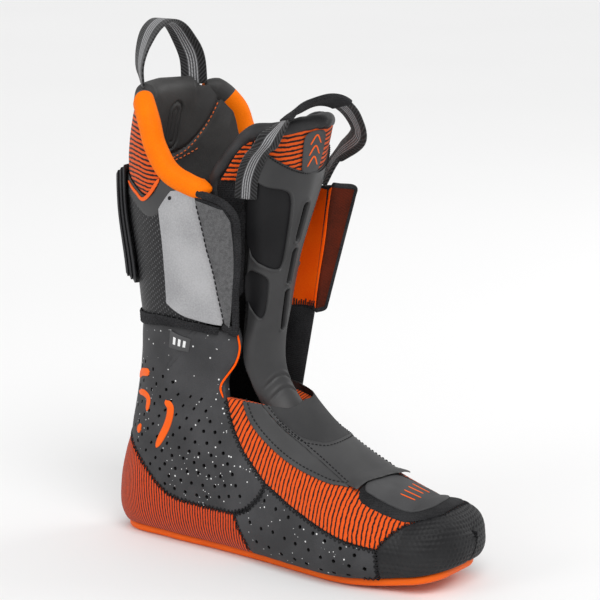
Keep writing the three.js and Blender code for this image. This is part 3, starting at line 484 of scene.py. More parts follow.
def sweep(name, centres, across, half_width, half_thick, finishes, body, replaces=(), sides=16,
          square=2.0, swell=None, finish_of=None):
    """A closed band or roll along a path. Across gives the direction of its width at each ring, and
    a square above 2 flattens the section towards a rectangle."""
    centres = np.asarray(centres, float)
    run = unit(np.gradient(centres, axis=0))
    wide = across - run * (across * run).sum(-1, keepdims=True)
    wide = unit(wide)
    thick = np.cross(run, wide)
    count = len(centres)
    width = np.broadcast_to(np.asarray(half_width, float), (count,)).copy()
    depth = np.broadcast_to(np.asarray(half_thick, float), (count,)).copy()
    turn = np.linspace(0, 2 * np.pi, sides, endpoint=False)
    a = np.sign(np.cos(turn)) * np.abs(np.cos(turn)) ** (2 / square)
    b = np.sign(np.sin(turn)) * np.abs(np.sin(turn)) ** (2 / square)
    length = run_of(centres)
    grow = np.ones((count, sides)) if swell is None else swell(length, turn)
    ring = centres[:, None] + wide[:, None] * (a * width[:, None] * grow)[..., None]
    ring = ring + thick[:, None] * (b * depth[:, None] * grow)[..., None]
    points = ring.reshape(-1, 3)
    uv = np.stack([np.broadcast_to(a * width[:, None], (count, sides)),
                   np.broadcast_to(length[:, None], (count, sides))], -1).reshape(-1, 2)
    faces = tube_faces(count, sides)
    bulge = min(depth[0], 1.5)
    for start, direction, order in ((0, -run[0], -1), ((count - 1) * sides, run[-1], 1)):
        rim = list(range(start, start + sides))
        middle = points[rim].mean(0)
        fresh = len(points)
        shrunk = middle + (points[rim] - middle) * 0.6 + direction * bulge * 0.6
        points = np.vstack([points, shrunk, middle + direction * bulge * 0.75])
        uv = np.vstack([uv, uv[rim], uv[rim].mean(0)])
        for j in range(sides):
            n = (j + 1) % sides
            faces.append([rim[j], rim[n], fresh + n, fresh + j][::order])
            faces.append([fresh + j, fresh + n, fresh + sides][::order])
    kinds = None
    if finish_of is not None:
        kinds = [finish_of(min(face[0] // sides, count - 1)) for face in faces]
    return piece(name, points, faces, finishes, body, replaces, uv, kinds, hard=60)


def frames_along(points):
    """Directions across a path that turn as little as they can."""
    run = unit(np.gradient(np.asarray(points, float), axis=0))
    across = [unit(np.cross(run[0], [0.3, 0.5, 0.8]))]
    for direction in run[1:]:
        across.append(unit(across[-1] - direction * np.dot(across[-1], direction)))
    return np.array(across)


def cordage(name, points, radius, finish, body, replaces=(), sides=12, square=2.0):
    points = np.asarray(points, float)
    return sweep(name, points, frames_along(points), radius, radius, finish, body, replaces,
                 sides, square)


def stitches(name, starts, ends, normals, finish, body="liner", radius=0.42, arch=0.5):
    """Threads that rise out of the cloth at one point and go back in at another."""
    starts, ends, normals = (np.asarray(v, float) for v in (starts, ends, normals))
    if len(starts) == 0:
        return None
    run = unit(ends - starts)
    side = unit(np.cross(run, normals))
    shares = np.array([0, 0.15, 0.5, 0.85, 1])
    lifts = np.array([-0.7, 0.55, 1, 0.55, -0.7])
    rings = []
    for share, lift in zip(shares, lifts):
        middle = starts + (ends - starts) * share + normals * (arch * lift)
        for k in range(5):
            turn = 2 * math.pi * k / 5
            rings.append(middle + side * radius * math.cos(turn) + normals * radius * math.sin(turn))
    count = len(starts)
    points = np.stack(rings, 1).reshape(-1, 3)
    pattern = np.array(tube_faces(5, 5))
    faces = (pattern[None] + 25 * np.arange(count)[:, None, None]).reshape(-1, 4).tolist()
    for k in range(count):
        faces.append([25 * k + j for j in (4, 3, 2, 1, 0)])
        faces.append([25 * k + 20 + j for j in range(5)])
    return piece(name, points, faces, finish, body)


def seam_run(loop_points, loop_normals, keep, pitch):
    """Evenly spaced points, normals and directions along the parts of a closed border to keep."""
    ring = np.vstack([loop_points, loop_points[:1]])
    ring_normals = np.vstack([loop_normals, loop_normals[:1]])
    run = run_of(ring)
    stops = np.arange(0, run[-1], pitch)
    points = resampled(ring, run, stops)
    normals = unit(resampled(ring_normals, run, stops))
    along = unit(np.roll(points, -1, 0) - np.roll(points, 1, 0))
    chosen = keep(points)
    return points[chosen], normals[chosen], along[chosen]


def overlock(name, borders, keep, finish, pitch=1.7, reach=2.1):
    """Short threads across a seam, leaning one way and then the other."""
    starts, ends, ups = [], [], []
    for loop_points, loop_normals in borders:
        points, normals, along = seam_run(loop_points, loop_normals, keep, pitch)
        if len(points) == 0:
            continue
        across = unit(np.cross(along, normals))
        lean = np.where(np.arange(len(points)) % 2 == 0, 0.9, -0.5)[:, None]
        jitter = rng.normal(0, 0.22, (len(points), 1))
        base = points + normals * 0.9
        starts.append(base - across * (reach + jitter) - along * lean)
        ends.append(base + across * (reach * 0.8 + jitter) + along * lean)
        ups.append(normals)
    return stitches(name, np.vstack(starts), np.vstack(ends), np.vstack(ups), finish,
                    radius=0.38, arch=0.35)


def dashes(name, line, finish, body="liner", depth=0.0, dash=2.2, pitch=3.4, radius=0.4,
           curved=True):
    """A row of single stitches on the last, along slices and angles."""
    path = spline(line, 120) if curved else np.asarray(line, float)
    at, angle = path.T
    depths = depth(at, angle) if callable(depth) else depth
    points = skin(at, angle, depths)
    run = run_of(points)
    stops = np.arange(0.4, run[-1] - dash, pitch)
    normals = outward(np.interp(stops, run, at), np.interp(stops, run, angle))
    return stitches(name, resampled(points, run, stops), resampled(points, run, stops + dash),
                    normals, finish, body, radius, 0.3)


# ---------------------------------------------------------------- finishes


class Wire:
    """An output of a shader tree. Arithmetic on it adds Math nodes."""

    def __init__(self, tree, socket=None):
        self.tree = tree
        self.socket = socket

    def node(self, kind, inputs=None, output=0, stops=None, **settings):
        made = self.tree.nodes.new(kind)
        for key, value in settings.items():
            setattr(made, key, value)
        if stops:
            ramp = made.color_ramp
            while len(ramp.elements) < len(stops):
                ramp.elements.new(0.5)
            for element, (position, colour) in zip(ramp.elements, stops):
                element.position = position
                element.color = colour
        for key, value in (inputs or {}).items():
            if isinstance(value, Wire):
                self.tree.links.new(value.socket, made.inputs[key])
            else:
                made.inputs[key].default_value = value
        return Wire(self.tree, made.outputs[output] if len(made.outputs) else None)

    def maths(self, operation, *values):
        return self.node("ShaderNodeMath", dict(enumerate(values)), operation=operation)

    def __add__(self, other):
        return self.maths("ADD", self, other)

    __radd__ = __add__

    def __sub__(self, other):
        return self.maths("SUBTRACT", self, other)

    def __rsub__(self, other):
        return self.maths("SUBTRACT", other, self)

    def __mul__(self, other):
        return self.maths("MULTIPLY", self, other)

    __rmul__ = __mul__

    def __truediv__(self, other):
        return self.maths("DIVIDE", self, other)

    def fraction(self):
        return self.maths("FRACT", self)

    def size(self):
        return self.maths("ABSOLUTE", self)

    def step(self, low, high, start=0.0, end=1.0):
        """A smooth step of the value between two limits."""
        values = {0: self, 1: low, 2: high, 3: start, 4: end}
        return self.node("ShaderNodeMapRange", values, interpolation_type="SMOOTHSTEP")

    def blend(self, low, high):
        """A mix of two colours by this value."""
        values = {0: self, 6: low, 7: high}
        return self.node("ShaderNodeMix", values, output=2, data_type="RGBA")


def colour(red, green, blue):
    return (red, green, blue, 1.0)


def start_finish(name):
    material = bpy.data.materials.new(name)
    material.use_nodes = True
    material.node_tree.nodes.clear()
    return material, Wire(material.node_tree)


def end_finish(material, wire, base, roughness, height=None, bump=0.3, metallic=0.0, **fixed):
    """The shader of a finish. Height is in millimetres and only drives the bump."""
    inputs = {"Base Color": base, "Roughness": roughness, "Metallic": metallic,
              "Specular IOR Level": 0.25}
    inputs.update({key.replace("_", " "): value for key, value in fixed.items()})
    if height is not None:
        bumps = {"Strength": bump, "Distance": MM, "Height": height}
        inputs["Normal"] = wire.node("ShaderNodeBump", bumps)
    shader = wire.node("ShaderNodeBsdfPrincipled", inputs)
    wire.node("ShaderNodeOutputMaterial", {"Surface": shader})
    return material


def place_mm(wire):
    """The place on the object, in millimetres."""
    here = wire.node("ShaderNodeTexCoord", output=3)
    return wire.node("ShaderNodeVectorMath", {0: here, "Scale": 1 / MM}, operation="SCALE")


def mapped(wire):
    """The piece's own mapping, in millimetres, as two values."""
    uv = wire.node("ShaderNodeUVMap", uv_map="maker")
    apart = wire.node("ShaderNodeSeparateXYZ", {0: uv})
    return uv, apart, Wire(wire.tree, apart.socket.node.outputs[1])


def noise(wire, vector, scale, detail=2.0, roughness=0.5):
    inputs = {"Vector": vector, "Scale": scale, "Detail": detail, "Roughness": roughness}
    return wire.node("ShaderNodeTexNoise", inputs)


def cells(wire, vector, scale, feature="F1", output=0, spread=1.0):
    inputs = {"Vector": vector, "Scale": scale, "Randomness": spread}
    return wire.node("ShaderNodeTexVoronoi", inputs, output=output, feature=feature)


def knit(name, pitch, bright, dark, gap=0.62, sheen=0.3):
    """Ribbed knit: bright ribs with dark gaps that pinch in and out along the rib. Noise along the yarn mixes
    the bright orange with a copy at 0.72 of its brightness, which is a painted highlight.
    """
    material, wire = start_finish(name)
    uv, across, along = mapped(wire)
    wander = noise(wire, uv, 0.16, 2.0)
    rib = ((across / pitch + (wander - 0.5) * 0.5).fraction() - 0.5).size() * 2
    pinch = noise(wire, uv, 0.42, 3.0)
    yarn = noise(wire, uv, 2.2, 2.0)
    valley = (rib + (pinch - 0.5) * 0.7).step(gap, gap + 0.3)
    # painted highlight on the yarn: noise picks where the ribs take the full bright colour and where they take
    # the darker copy
    yarn_highlight = (yarn * 0.7 + pinch * 0.3).step(0.3, 0.7)
    highlighted_rib_colour = yarn_highlight.blend(colour(*[c * 0.72 for c in bright]), colour(*bright))
    base = valley.blend(highlighted_rib_colour, colour(*dark))
    height = (1 - rib) * 0.35 + yarn * 0.25 - valley * 0.3
    return end_finish(material, wire, base, 0.78, height, 0.5, Sheen_Weight=sheen * 0.3)


def foam(name):
    """Dark foam film with white flecks."""
    material, wire = start_finish(name)
    here = place_mm(wire)
    tone = noise(wire, here, 0.035, 3.0)
    grain = noise(wire, here, 1.6, 3.0)
    mottle = (tone * 0.7 + grain * 0.3).step(0.35, 0.68)
    base = mottle.blend(colour(0.034, 0.034, 0.036), colour(0.056, 0.056, 0.059))
    fleck = None
    for scale, share, size in ((0.155, 0.3, 0.078), (0.27, 0.5, 0.085)):
        gap = cells(wire, here, scale)
        pick = cells(wire, here, scale, output=1)
        chosen = wire.node("ShaderNodeSeparateColor", {0: pick}).step(share, share + 0.01)
        ragged = (gap + (grain - 0.5) * 0.06).step(size, size + 0.03, 1.0, 0.0)
        layer = ragged * chosen
        fleck = layer if fleck is None else fleck.maths("MAXIMUM", fleck, layer)
    base = fleck.blend(base, colour(0.72, 0.72, 0.72))
    height = grain * 0.3 + fleck * 0.1
    return end_finish(material, wire, base, 0.62, height, 0.25)


def cloth(name, base_low, base_high, pitch=0.9, rough=0.85, sheen=0.3, bump=0.4, twill=0.5):
    """Plain woven or brushed cloth."""
    material, wire = start_finish(name)
    here = place_mm(wire)
    parts = wire.node("ShaderNodeSeparateXYZ", {0: here})
    height_mm = Wire(wire.tree, parts.socket.node.outputs[2])
    side_mm = Wire(wire.tree, parts.socket.node.outputs[1])
    warp = ((height_mm / pitch).fraction() - 0.5).size()
    weft = (((side_mm + parts * 0.7 + height_mm * twill) / pitch).fraction() - 0.5).size()
    fuzz = noise(wire, here, 1.4, 3.0)
    wide = noise(wire, here, 0.05, 2.0)
    mix = (fuzz * 0.6 + wide * 0.4).step(0.35, 0.65)
    base = mix.blend(colour(*base_low), colour(*base_high))
    return end_finish(material, wire, base, rough, warp + weft + fuzz * 0.6, bump,
                      Sheen_Weight=sheen * 0.15, Specular_IOR_Level=0.08)


def smooth_skin(name, base_low, base_high, rough, grain=1.1, bump=0.12, coat=0.0, cell=False, **more):
    """Smooth synthetic, moulded plastic, rubber or leather."""
    material, wire = start_finish(name)
    here = place_mm(wire)
    tone = noise(wire, here, 0.03, 3.0)
    fine = noise(wire, here, grain, 4.0)
    base = tone.step(0.3, 0.7).blend(colour(*base_low), colour(*base_high))
    height = fine * 0.5
    if cell:
        height = height + cells(wire, here, grain * 0.8, "DISTANCE_TO_EDGE").step(0.0, 0.12) * 0.6
    shine = rough + (fine - 0.5) * 0.12
    if coat:
        more["Coat_Weight"] = coat
    return end_finish(material, wire, base, shine, height, bump, **more)


def mesh_weave(name):
    """Coarse diagonal weave. The raised threads carry a painted highlight: a lighter grey in the base colour
    stands in for a dull gloss.
    """
    material, wire = start_finish(name)
    uv, u, v = mapped(wire)
    fleck = noise(wire, uv, 0.5, 2.0)
    one = (((u + v * 0.32 + fleck * 1.2) / 2.4).fraction() - 0.5).size() * 2
    two = (((v - u * 0.75 + fleck * 1.6) / 3.6).fraction() - 0.5).size() * 2
    raised = one.step(0.3, 0.9) * two.step(0.25, 0.9)
    # painted highlight: the raised threads, mixed with noise, lift the base colour from near black to grey
    base = (raised * (0.3 + fleck)).step(0.2, 1.0).blend(
        colour(0.012, 0.012, 0.013), colour(0.13, 0.13, 0.135))
    return end_finish(material, wire, base, 0.45, raised * 0.9 + fleck * 0.2, 0.6)


def heather(name):
    """Pale grey heather cloth."""
    material, wire = start_finish(name)
    here = place_mm(wire)
    speck = noise(wire, here, 3.0, 3.0, 0.7)
    blot = noise(wire, here, 0.45, 2.0)
    base = (speck * 0.7 + blot * 0.3).step(0.36, 0.66).blend(
        colour(0.055, 0.055, 0.057), colour(0.15, 0.15, 0.154))
    return end_finish(material, wire, base, 0.85, speck, 0.5, Sheen_Weight=0.3)


def silver_film(name):
    """Silver reflective film over a fine grid."""
    material, wire = start_finish(name)
    uv, u, v = mapped(wire)
    here = place_mm(wire)
    lines = ((u / 1.5).fraction() - 0.5).size() * 2
    rows = ((v / 1.5).fraction() - 0.5).size() * 2
    grid = lines.maths("MAXIMUM", lines, rows).step(0.7, 0.95)
    fade = noise(wire, here, 0.03, 1.0)
    scuff = noise(wire, here, 0.9, 3.0)
    base = (fade * 0.6 + scuff * 0.4).step(0.3, 0.7).blend(
        colour(0.30, 0.30, 0.31), colour(0.46, 0.46, 0.47))
    return end_finish(material, wire, base, 0.42, 1 - grid * 0.6, 0.15, metallic=0.35)


def webbing_finish(name, width):
    """Woven tape: black herringbone edges and a pale striped middle."""
    material, wire = start_finish(name)
    uv, across, along = mapped(wire)
    share = (across / (width / 2)).size()
    weave = ((along + across.size() * 0.9) / 2.8).fraction()
    bone = (weave - 0.5).size() * 2
    middle = share.step(0.38, 0.46, 1.0, 0.0)
    lines = ((across / (width * 0.1) + 0.5).fraction() - 0.5).size() * 2
    pale = lines.step(0.45, 0.8).blend(colour(0.07, 0.07, 0.073), colour(0.36, 0.36, 0.37))
    edge = bone.step(0.45, 0.7).blend(colour(0.004, 0.004, 0.004), colour(0.035, 0.035, 0.037))
    base = middle.blend(edge, pale)
    return end_finish(material, wire, base, 0.7, bone * 0.7 + lines * 0.3, 0.5, Sheen_Weight=0.2)


ORANGE_KNIT = knit("orange_rib_knit", 3.3, (0.86, 0.10, 0.004), (0.012, 0.003, 0.002), 0.5)
COLLAR_KNIT = knit("collar_rib_knit", 3.2, (0.86, 0.105, 0.004), (0.010, 0.004, 0.003), 0.4)
HEEL_KNIT = knit("heel_fine_knit", 2.3, (0.78, 0.07, 0.003), (0.014, 0.003, 0.002), 0.42)
FOAM = foam("flecked_foam")
LINING = cloth("black_brushed_lining", (0.008, 0.008, 0.008), (0.022, 0.022, 0.022), 1.2)
HOLE = smooth_skin("hole_shadow", (0.004, 0.004, 0.004), (0.008, 0.008, 0.008), 0.9)
TOE_MESH = smooth_skin("toe_mesh", (0.008, 0.008, 0.009), (0.02, 0.02, 0.021), 0.5, 2.4, 0.35)
SYNTHETIC = smooth_skin("grey_synthetic", (0.046, 0.046, 0.047), (0.06, 0.06, 0.061), 0.5, 2.2, 0.06)
INSTEP = smooth_skin("instep_softshell", (0.032, 0.032, 0.033), (0.046, 0.046, 0.047), 0.75, 2.6, 0.3)
SHIELD = smooth_skin("moulded_shield", (0.036, 0.036, 0.037), (0.047, 0.047, 0.048), 0.42, 1.8, 0.05)
WINDOW = smooth_skin("shield_window", (0.004, 0.004, 0.005), (0.008, 0.008, 0.009), 0.6, 1.8, 0.05)
LEATHER = smooth_skin("pad_leather", (0.04, 0.039, 0.039), (0.062, 0.061, 0.06), 0.48, 1.0, 0.22, cell=True)
LYCRA = cloth("orange_lycra", (0.88, 0.16, 0.001), (0.96, 0.195, 0.001), 0.55, 0.6, 0.0, 0.1)
LAPEL = cloth("orange_lining", (0.95, 0.085, 0.001), (1.0, 0.12, 0.002), 0.7, 0.75, 0.0, 0.2)
# Inner faces of the wings: orange lining darkened to a red-brown as painted shade, since these faces lie in
# shadow.
SHADED_WING_LINING = cloth("wing_lining_painted_shade", (0.045, 0.010, 0.005), (0.10, 0.015, 0.006), 0.9, 0.8, 0.0, 0.3)
CUFF = mesh_weave("cuff_weave")
HEATHER = heather("grey_heather")
SILVER = silver_film("silver_film")
TAPE = cloth("black_tape", (0.012, 0.012, 0.013), (0.034, 0.034, 0.036), 1.3, 0.8, 0.2, 0.6)
PIPING = smooth_skin("black_piping", (0.02, 0.02, 0.021), (0.04, 0.04, 0.042), 0.5, 1.1, 0.2, cell=True)
SOLE = smooth_skin("orange_sole", (0.84, 0.115, 0.001), (0.93, 0.14, 0.001), 0.5, 1.4, 0.1)
INLAY = smooth_skin("orange_inlay", (0.84, 0.105, 0.001), (0.93, 0.13, 0.001), 0.5, 1.6, 0.1)
THREAD = cloth("black_thread", (0.008, 0.008, 0.009), (0.03, 0.03, 0.032), 0.4, 0.7, 0.2, 0.5)
ORANGE_THREAD = cloth("orange_thread", (0.8, 0.13, 0.03), (0.95, 0.27, 0.1), 0.4, 0.7, 0.2, 0.5)
BADGE = smooth_skin("badge_film", (0.05, 0.05, 0.052), (0.075, 0.075, 0.077), 0.6, 1.9, 0.15)
BARS = smooth_skin("white_bars", (0.7, 0.7, 0.7), (0.8, 0.8, 0.8), 0.6)
SHIM = smooth_skin("shim_foam", (0.028, 0.028, 0.03), (0.05, 0.05, 0.052), 0.65, 1.2, 0.3)
REAR_WEB = webbing_finish("rear_webbing", REAR_WEBBING_WIDTH)
TONGUE_WEB = webbing_finish("tongue_webbing", TONGUE_WEBBING_WIDTH)

# ---------------------------------------------------------------- seams, as forward and height

LOW, HIGH, FAR = -60, 460, 300
HEEL_SEAM = spline([(-92, 78), (-62, 74), (-41, 58), (-17, 38.5), (10, 34.5), (43, 34)], 40)
HEEL_FRONT_SEAM = spline([(43, 34), (47.5, 24), (53, 13), (58, -12)], 16)
ANKLE_TOE_SEAM = spline([(43, 34), (56, 40), (67, 51), (70, 60)], 16)
ANKLE_FRONT_SEAM = spline([(70, 60), (61, 67), (47, 80), (37.5, 96), (31, 113.5)], 24)
FOREFOOT_SEAM = spline([(70, 60), (92, 50), (115, 41.5), (140, 34), (163, 30)], 30)
TOE_SIDE_SEAM = spline([(163, 30), (164.5, 14), (166, -12)], 10)
TOE_TOP_SEAM = spline([(163, 30), (168, 38), (176, 46), (189, 52), (198, 56), (204, 80)], 24)
THROAT_LINE = spline([(31, 113.5), (45, 112.5), (60, 111), (74, 109), (90, 107)], 20)
HEM_LINE = spline([(-92, 158), (-46, 160), (-14, 163), (12, 161.5), (30, 159.5), (60, 162)], 40)
OPENING = spline([(31, 113.5), (30, 126), (37, 139), (40, 151), (38, 163), (34, 175), (31, 205),
                  (28, 240), (28, 290)], 60)
KNIT_SEAM = spline([(-150, 266), (-55, 264), (-37, 260), (-19, 252), (-6, 262), (3, 285), (6, 330)], 60)
COLLAR_LINE = np.array([[74, 11.78], [81, 11.86], [90, 12.08], [100, 12.4], [110, 12.9], [119, 13.42],
                        [134, 13.84], [150, 13.92], [180, 13.98]])
SOLE_TOP = SOLE_THICKNESS + 0.35


def collar_slice(angle):
    return np.interp(180 - np.abs(180 - np.abs(angle)), COLLAR_LINE[:, 0], COLLAR_LINE[:, 1])


def run_at(angle):
    """The distance in millimetres along the last at one angle, as a function of the slice."""
    stops = np.linspace(0.001, 15, 400)
    run = run_of(last_point(stops, angle))
    return lambda at: np.interp(at, stops, run)


above_sole = lambda at, angle, point: point[..., 2] - (SOLE_TOP + toe_rise(-point[..., 1]))
below_collar = lambda at, angle, point: (collar_slice(angle) - at) * SHIN_SLICE
half_field = lambda at, angle, point: (180 - np.abs(angle)) * 0.7 - SEAM / 2
VAMP_RUN = run_at(-50)


def around_heel(point):
    """The distance round the heel from its back, counted up on the lateral side."""
    x, forward = point[..., 0] - 1, -point[..., 1]
    turn = np.arctan2(-45 - forward, np.abs(x) + 1e-6)
    run = np.where(forward > -45, forward + 45 + 33 * np.pi / 2, 33 * (np.pi / 2 - turn))
    return run * np.sign(-x)


def rib_relief(run, pitch=3.3, depth=0.35):
    """Ribs in the surface itself, that follow the same coordinate as the knit's colour."""
    return depth * (np.abs(((run / pitch) % 1) - 0.5) * 2 - 0.5)


# ---------------------------------------------------------------- foam and knit panels of the foot

heel_outline = [*HEEL_SEAM, *HEEL_FRONT_SEAM, (-92, LOW)]
heel_field = all_of(side_field(heel_outline), above_sole)
panel(
    "heel_knit", (3.0, 9.0), (50, 310), 1.3, heel_field, (HEEL_KNIT, LINING),
    ("heel_wrap",), puff=0.5, mapping=lambda at, angle, p: np.stack([around_heel(p), p[:, 2]], -1))

toe_outline = [(166, LOW), *TOE_SIDE_SEAM[::-1], *TOE_TOP_SEAM, (FAR, 80), (FAR, LOW)]
toe_field = all_of(side_field(toe_outline), above_sole)


def toe_mapping(at, angle, p):
    arm = unit(p - [4, -168, 20])
    return np.stack([np.arctan2(arm[:, 0], -arm[:, 1]) * 42, np.arcsin(arm[:, 2]) * 40], -1)


def toe_relief(at, angle, p, gap):
    """Staggered dimples of the toe mesh."""
    u, v = toe_mapping(at, angle, p).T
    row = np.floor(v / 2.9)
    du = ((u / 3.4 + 0.5 * (row % 2)) % 1 - 0.5) * 3.4
    dv = ((v / 2.9) % 1 - 0.5) * 2.9
    return -0.8 * np.exp(-(du**2 + dv**2) / 0.8) * smooth(1, 3, gap)


_, toe_borders = panel("toe_mesh_cap", (0.003, 2.3), (-180, 180), 0.75, toe_field, (TOE_MESH, LINING),
                       ("toe_cap",), relief=toe_relief, mapping=toe_mapping, puff=0.4)

forefoot_outline = [*ANKLE_TOE_SEAM, *FOREFOOT_SEAM, *TOE_SIDE_SEAM, *HEEL_FRONT_SEAM[::-1]]
FOREFOOT_ROWS = [
    [(72, 49), (96, 40.5), (122, 33), (150, 26.5)],
    [(60, 31), (90, 27.5), (122, 21.5), (156, 17.5)],
    [(66, 19), (95, 14.5), (125, 11.5), (156, 10.5)],
]


def near_points(centres, sign):
    """A function that picks the grid point nearest to each hole centre on one side."""
    def pick(at, angle, surface, gap):
        tree = KDTree(len(surface))
        for k, p in enumerate(surface):
            if np.sign(p[0]) == sign and gap[k] > 4:
                tree.insert((0, -p[1], p[2]), k)
        tree.balance()
        chosen = []
        for forward, height in centres:
            _, k, miss = tree.find((0, forward, height))
            if k is not None and miss < 1.5:
                chosen.append(k)
        return sorted(set(chosen))
    return pick


forefoot_holes = [p for row in FOREFOOT_ROWS for p in even(spline(row, 60), 11)]
ankle_holes = []
for row in range(14):
    for column in range(12):
        forward = -56 + 9.6 * column + 4.8 * (row % 2) + 0.8 * row
        height = 42 + 7.6 * row + 0.0045 * (forward - 12) ** 2
        clear = forward < 62 - 0.55 * (height - 40) and height < 139 - 0.35 * (forward + 60)
        if clear:
            ankle_holes.append((forward, height))

forefoot_borders, ankle_borders = {}, {}
hem = HEM_LINE[HEM_LINE[:, 0] < 38]
ankle_outline = [*hem, (39, 160), *OPENING[OPENING[:, 1] < 159][::-1], *ANKLE_FRONT_SEAM[::-1],
                 *ANKLE_TOE_SEAM[::-1], *HEEL_SEAM[::-1]]


def emboss(at, angle, surface, gap):
    """A row of plain rounded cells pressed into the foam under the size badge."""
    total = np.zeros(len(at))
    for middle in (-100, -88, -76):
        slice_mid = 9.3 + (middle + 100) * 0.0145 - 0.35
        du = (np.abs(angle) - np.abs(middle)) * 0.72
        dv = (at - slice_mid) * 44
        ring = np.sqrt((du / 1.1) ** 2 + dv**2)
        total -= 0.7 * np.exp(-((ring - 3.6) / 0.55) ** 2)
    return total


for side, sign in SIDES:
    span = one_side(sign, 38, 178)
    _, forefoot_borders[side] = panel(
        "forefoot_foam_panel_" + side, (1.2, 5.6), span, 1.75,
        all_of(side_field(forefoot_outline), above_sole), (FOAM, HOLE, LINING),
        ("forefoot_foam_" + side,), puff=1.0, pinch=0.35,
        holes=near_points(forefoot_holes, sign), top=0.0)
    span = one_side(sign, 30, 180)
    _, ankle_borders[side] = panel(
        "ankle_foam_panel_" + side, (3.2, 10.8), span, 1.75,
        all_of(side_field(ankle_outline), half_field), (FOAM, HOLE, LINING),
        ("ankle_shell_" + side,), puff=0.9, pinch=0.3, holes=near_points(ankle_holes, sign),
        relief=emboss)

vamp_outline = [*ANKLE_FRONT_SEAM, *THROAT_LINE, (120, 105), (FAR, 100), (FAR, 80),
                *TOE_TOP_SEAM[::-1], *FOREFOOT_SEAM[::-1]]
panel(
    "vamp_rib_knit", (0.7, 7.6), (-125, 125), 1.0, side_field(vamp_outline), (ORANGE_KNIT, LINING),
    ("vamp_knit",), puff=0.5,
    relief=lambda at, angle, p, gap: rib_relief(VAMP_RUN(at)) * smooth(0, 3, gap),
    mapping=lambda at, angle, p: np.stack([VAMP_RUN(at), angle * 0.8], -1))

overlock("ankle_overlock", ankle_borders["lateral"] + ankle_borders["medial"],
         lambda p: (p[:, 2] < 112) & (p[:, 0] ** 2 > 9), THREAD, 1.75, 2.3)
overlock("forefoot_overlock", forefoot_borders["lateral"] + forefoot_borders["medial"],
         lambda p: p[:, 2] > 9.5, THREAD, 1.75, 2.0)
overlock("toe_overlock", toe_borders, lambda p: p[:, 2] > 10 + toe_rise(-p[:, 1]), THREAD,
         1.7, 2.0)

# ---------------------------------------------------------------- sole


def contour(depth, level):
    """The outline of the grown last at a level above the sprung floor, as points round the foot."""
    found = []
    turns = np.linspace(90, 179.5, 120)
    for sign in (-1, 1):
        side = []
        for at in np.r_[np.linspace(0.004, 1, 40), np.linspace(1.03, 8.6, 190)]:
            line = skin(at, sign * turns, depth)
            over = line[:, 2] - toe_rise(-line[:, 1]) - level
            crossing = np.nonzero((over[:-1] > 0) & (over[1:] <= 0))[0]
            if len(crossing):
                k = crossing[0]
                share = over[k] / (over[k] - over[k + 1])
                side.append(line[k] + (line[k + 1] - line[k]) * share)
        found.append(np.array(side))
    lateral, medial = found
    ring = np.vstack([lateral, medial[::-1]])
    return even(np.vstack([ring, ring[:1]]), 2.4)[:-1]


def sole():
    """The sole board with a rounded rim, swept round the outline of the foot."""
    ring = contour(0.0, 3.0)
    ring[:, 2] = 0
    along_ring = unit(np.roll(ring, -1, 0) - np.roll(ring, 1, 0))
    outward_ring = unit(np.cross(along_ring, [0, 0, 1.0]))
    middle = ring.mean(0)
    if (outward_ring * (ring - middle)).sum() < 0:
        outward_ring = -outward_ring
    for _ in range(3):
        outward_ring = unit(outward_ring + np.roll(outward_ring, 1, 0) + np.roll(outward_ring, -1, 0))
    profile = [(-9.0, 6.1), (0.6, 6.1), (1.5, 5.9), (2.1, 5.1), (2.2, 3.6), (1.9, 2.0), (1.1, 0.9),
               (-0.4, 0.25), (-3.0, 0.0)]
    points = []
    count = len(ring)
    for out, height in profile:
        here = ring + outward_ring * out
        here[:, 2] = height + toe_rise(-here[:, 1])
        points.append(here)
    points = np.vstack(points)
    faces = tube_faces(len(profile), count)
    last_ring = (len(profile) - 1) * count
    half = count // 2
    for start, flip in ((0, False), (last_ring, True)):
        for j in range(half - 1):
            a, b = start + j, start + j + 1
            c, d = start + count - 2 - j, start + count - 1 - j
            if b < c:
                faces.append([a, b, c, d] if flip else [d, c, b, a])
            elif b == c:
                faces.append([a, b, d] if flip else [d, b, a])
    face = faces[count // 4 + count * 3]
    a, b, c = (points[v] for v in face[:3])
    if np.dot(np.cross(b - a, c - a), outward_ring[face[0] % count]) < 0:
        faces = [f[::-1] for f in faces]
    return piece("orange_sole_board", points, faces, SOLE, "liner", ("sole_board",))


sole()

# ---------------------------------------------------------------- cuff

cuff_outline = [*hem, (39, 162), *OPENING[OPENING[:, 1] > 163], (28, HIGH), (-150, HIGH), (-150, 158)]
knit_region = side_field([*KNIT_SEAM, (6, HIGH), (-150, HIGH)])
off_knit = lambda at, angle, point: -knit_region(at, angle, point) - SEAM
cuff_mapping = lambda at, angle, p: np.stack([around_heel(p), p[:, 2]], -1)
for side, sign in SIDES:
    span = one_side(sign, 52, 180)
    panel("cuff_weave_" + side, (9.0, 14.2), span, 2.2,
          all_of(side_field(cuff_outline), half_field, off_knit, below_collar),
          (CUFF, LINING), ("cuff_" + side,), mapping=cuff_mapping, puff=0.4)
panel("collar_rib_band", (11.2, 14.2), (60, 300), 1.4, all_of(knit_region, below_collar),
      (COLLAR_KNIT, LINING), ("collar_knit",), puff=0.6,
      mapping=lambda at, angle, p: np.stack([p[:, 2] + 1.2 * np.sin(p[:, 1] / 7), angle * 0.9], -1))

GUSSET_LOW = spline([(-56, 250), (-37, 246), (-19, 237), (-2, 246), (12, 262), (24, 280)], 40)
gusset_outline = [*KNIT_SEAM[KNIT_SEAM[:, 0] > -57], (30, 330), *GUSSET_LOW[::-1]]
CHEVRON = [(12.38, -140), (12.16, -127), (12.0, -119), (12.07, -111), (12.28, -103)]
for side, sign in SIDES:
    span = one_side(sign, 78, 160)
    panel("smooth_gusset_" + side, (11.4, 13.6), span, 1.3,
          all_of(side_field(gusset_outline), below_collar), SYNTHETIC, top=0.7, thickness=0.7,
          edge=0.5)

HEM_TURNS = np.linspace(58, 302, 123)


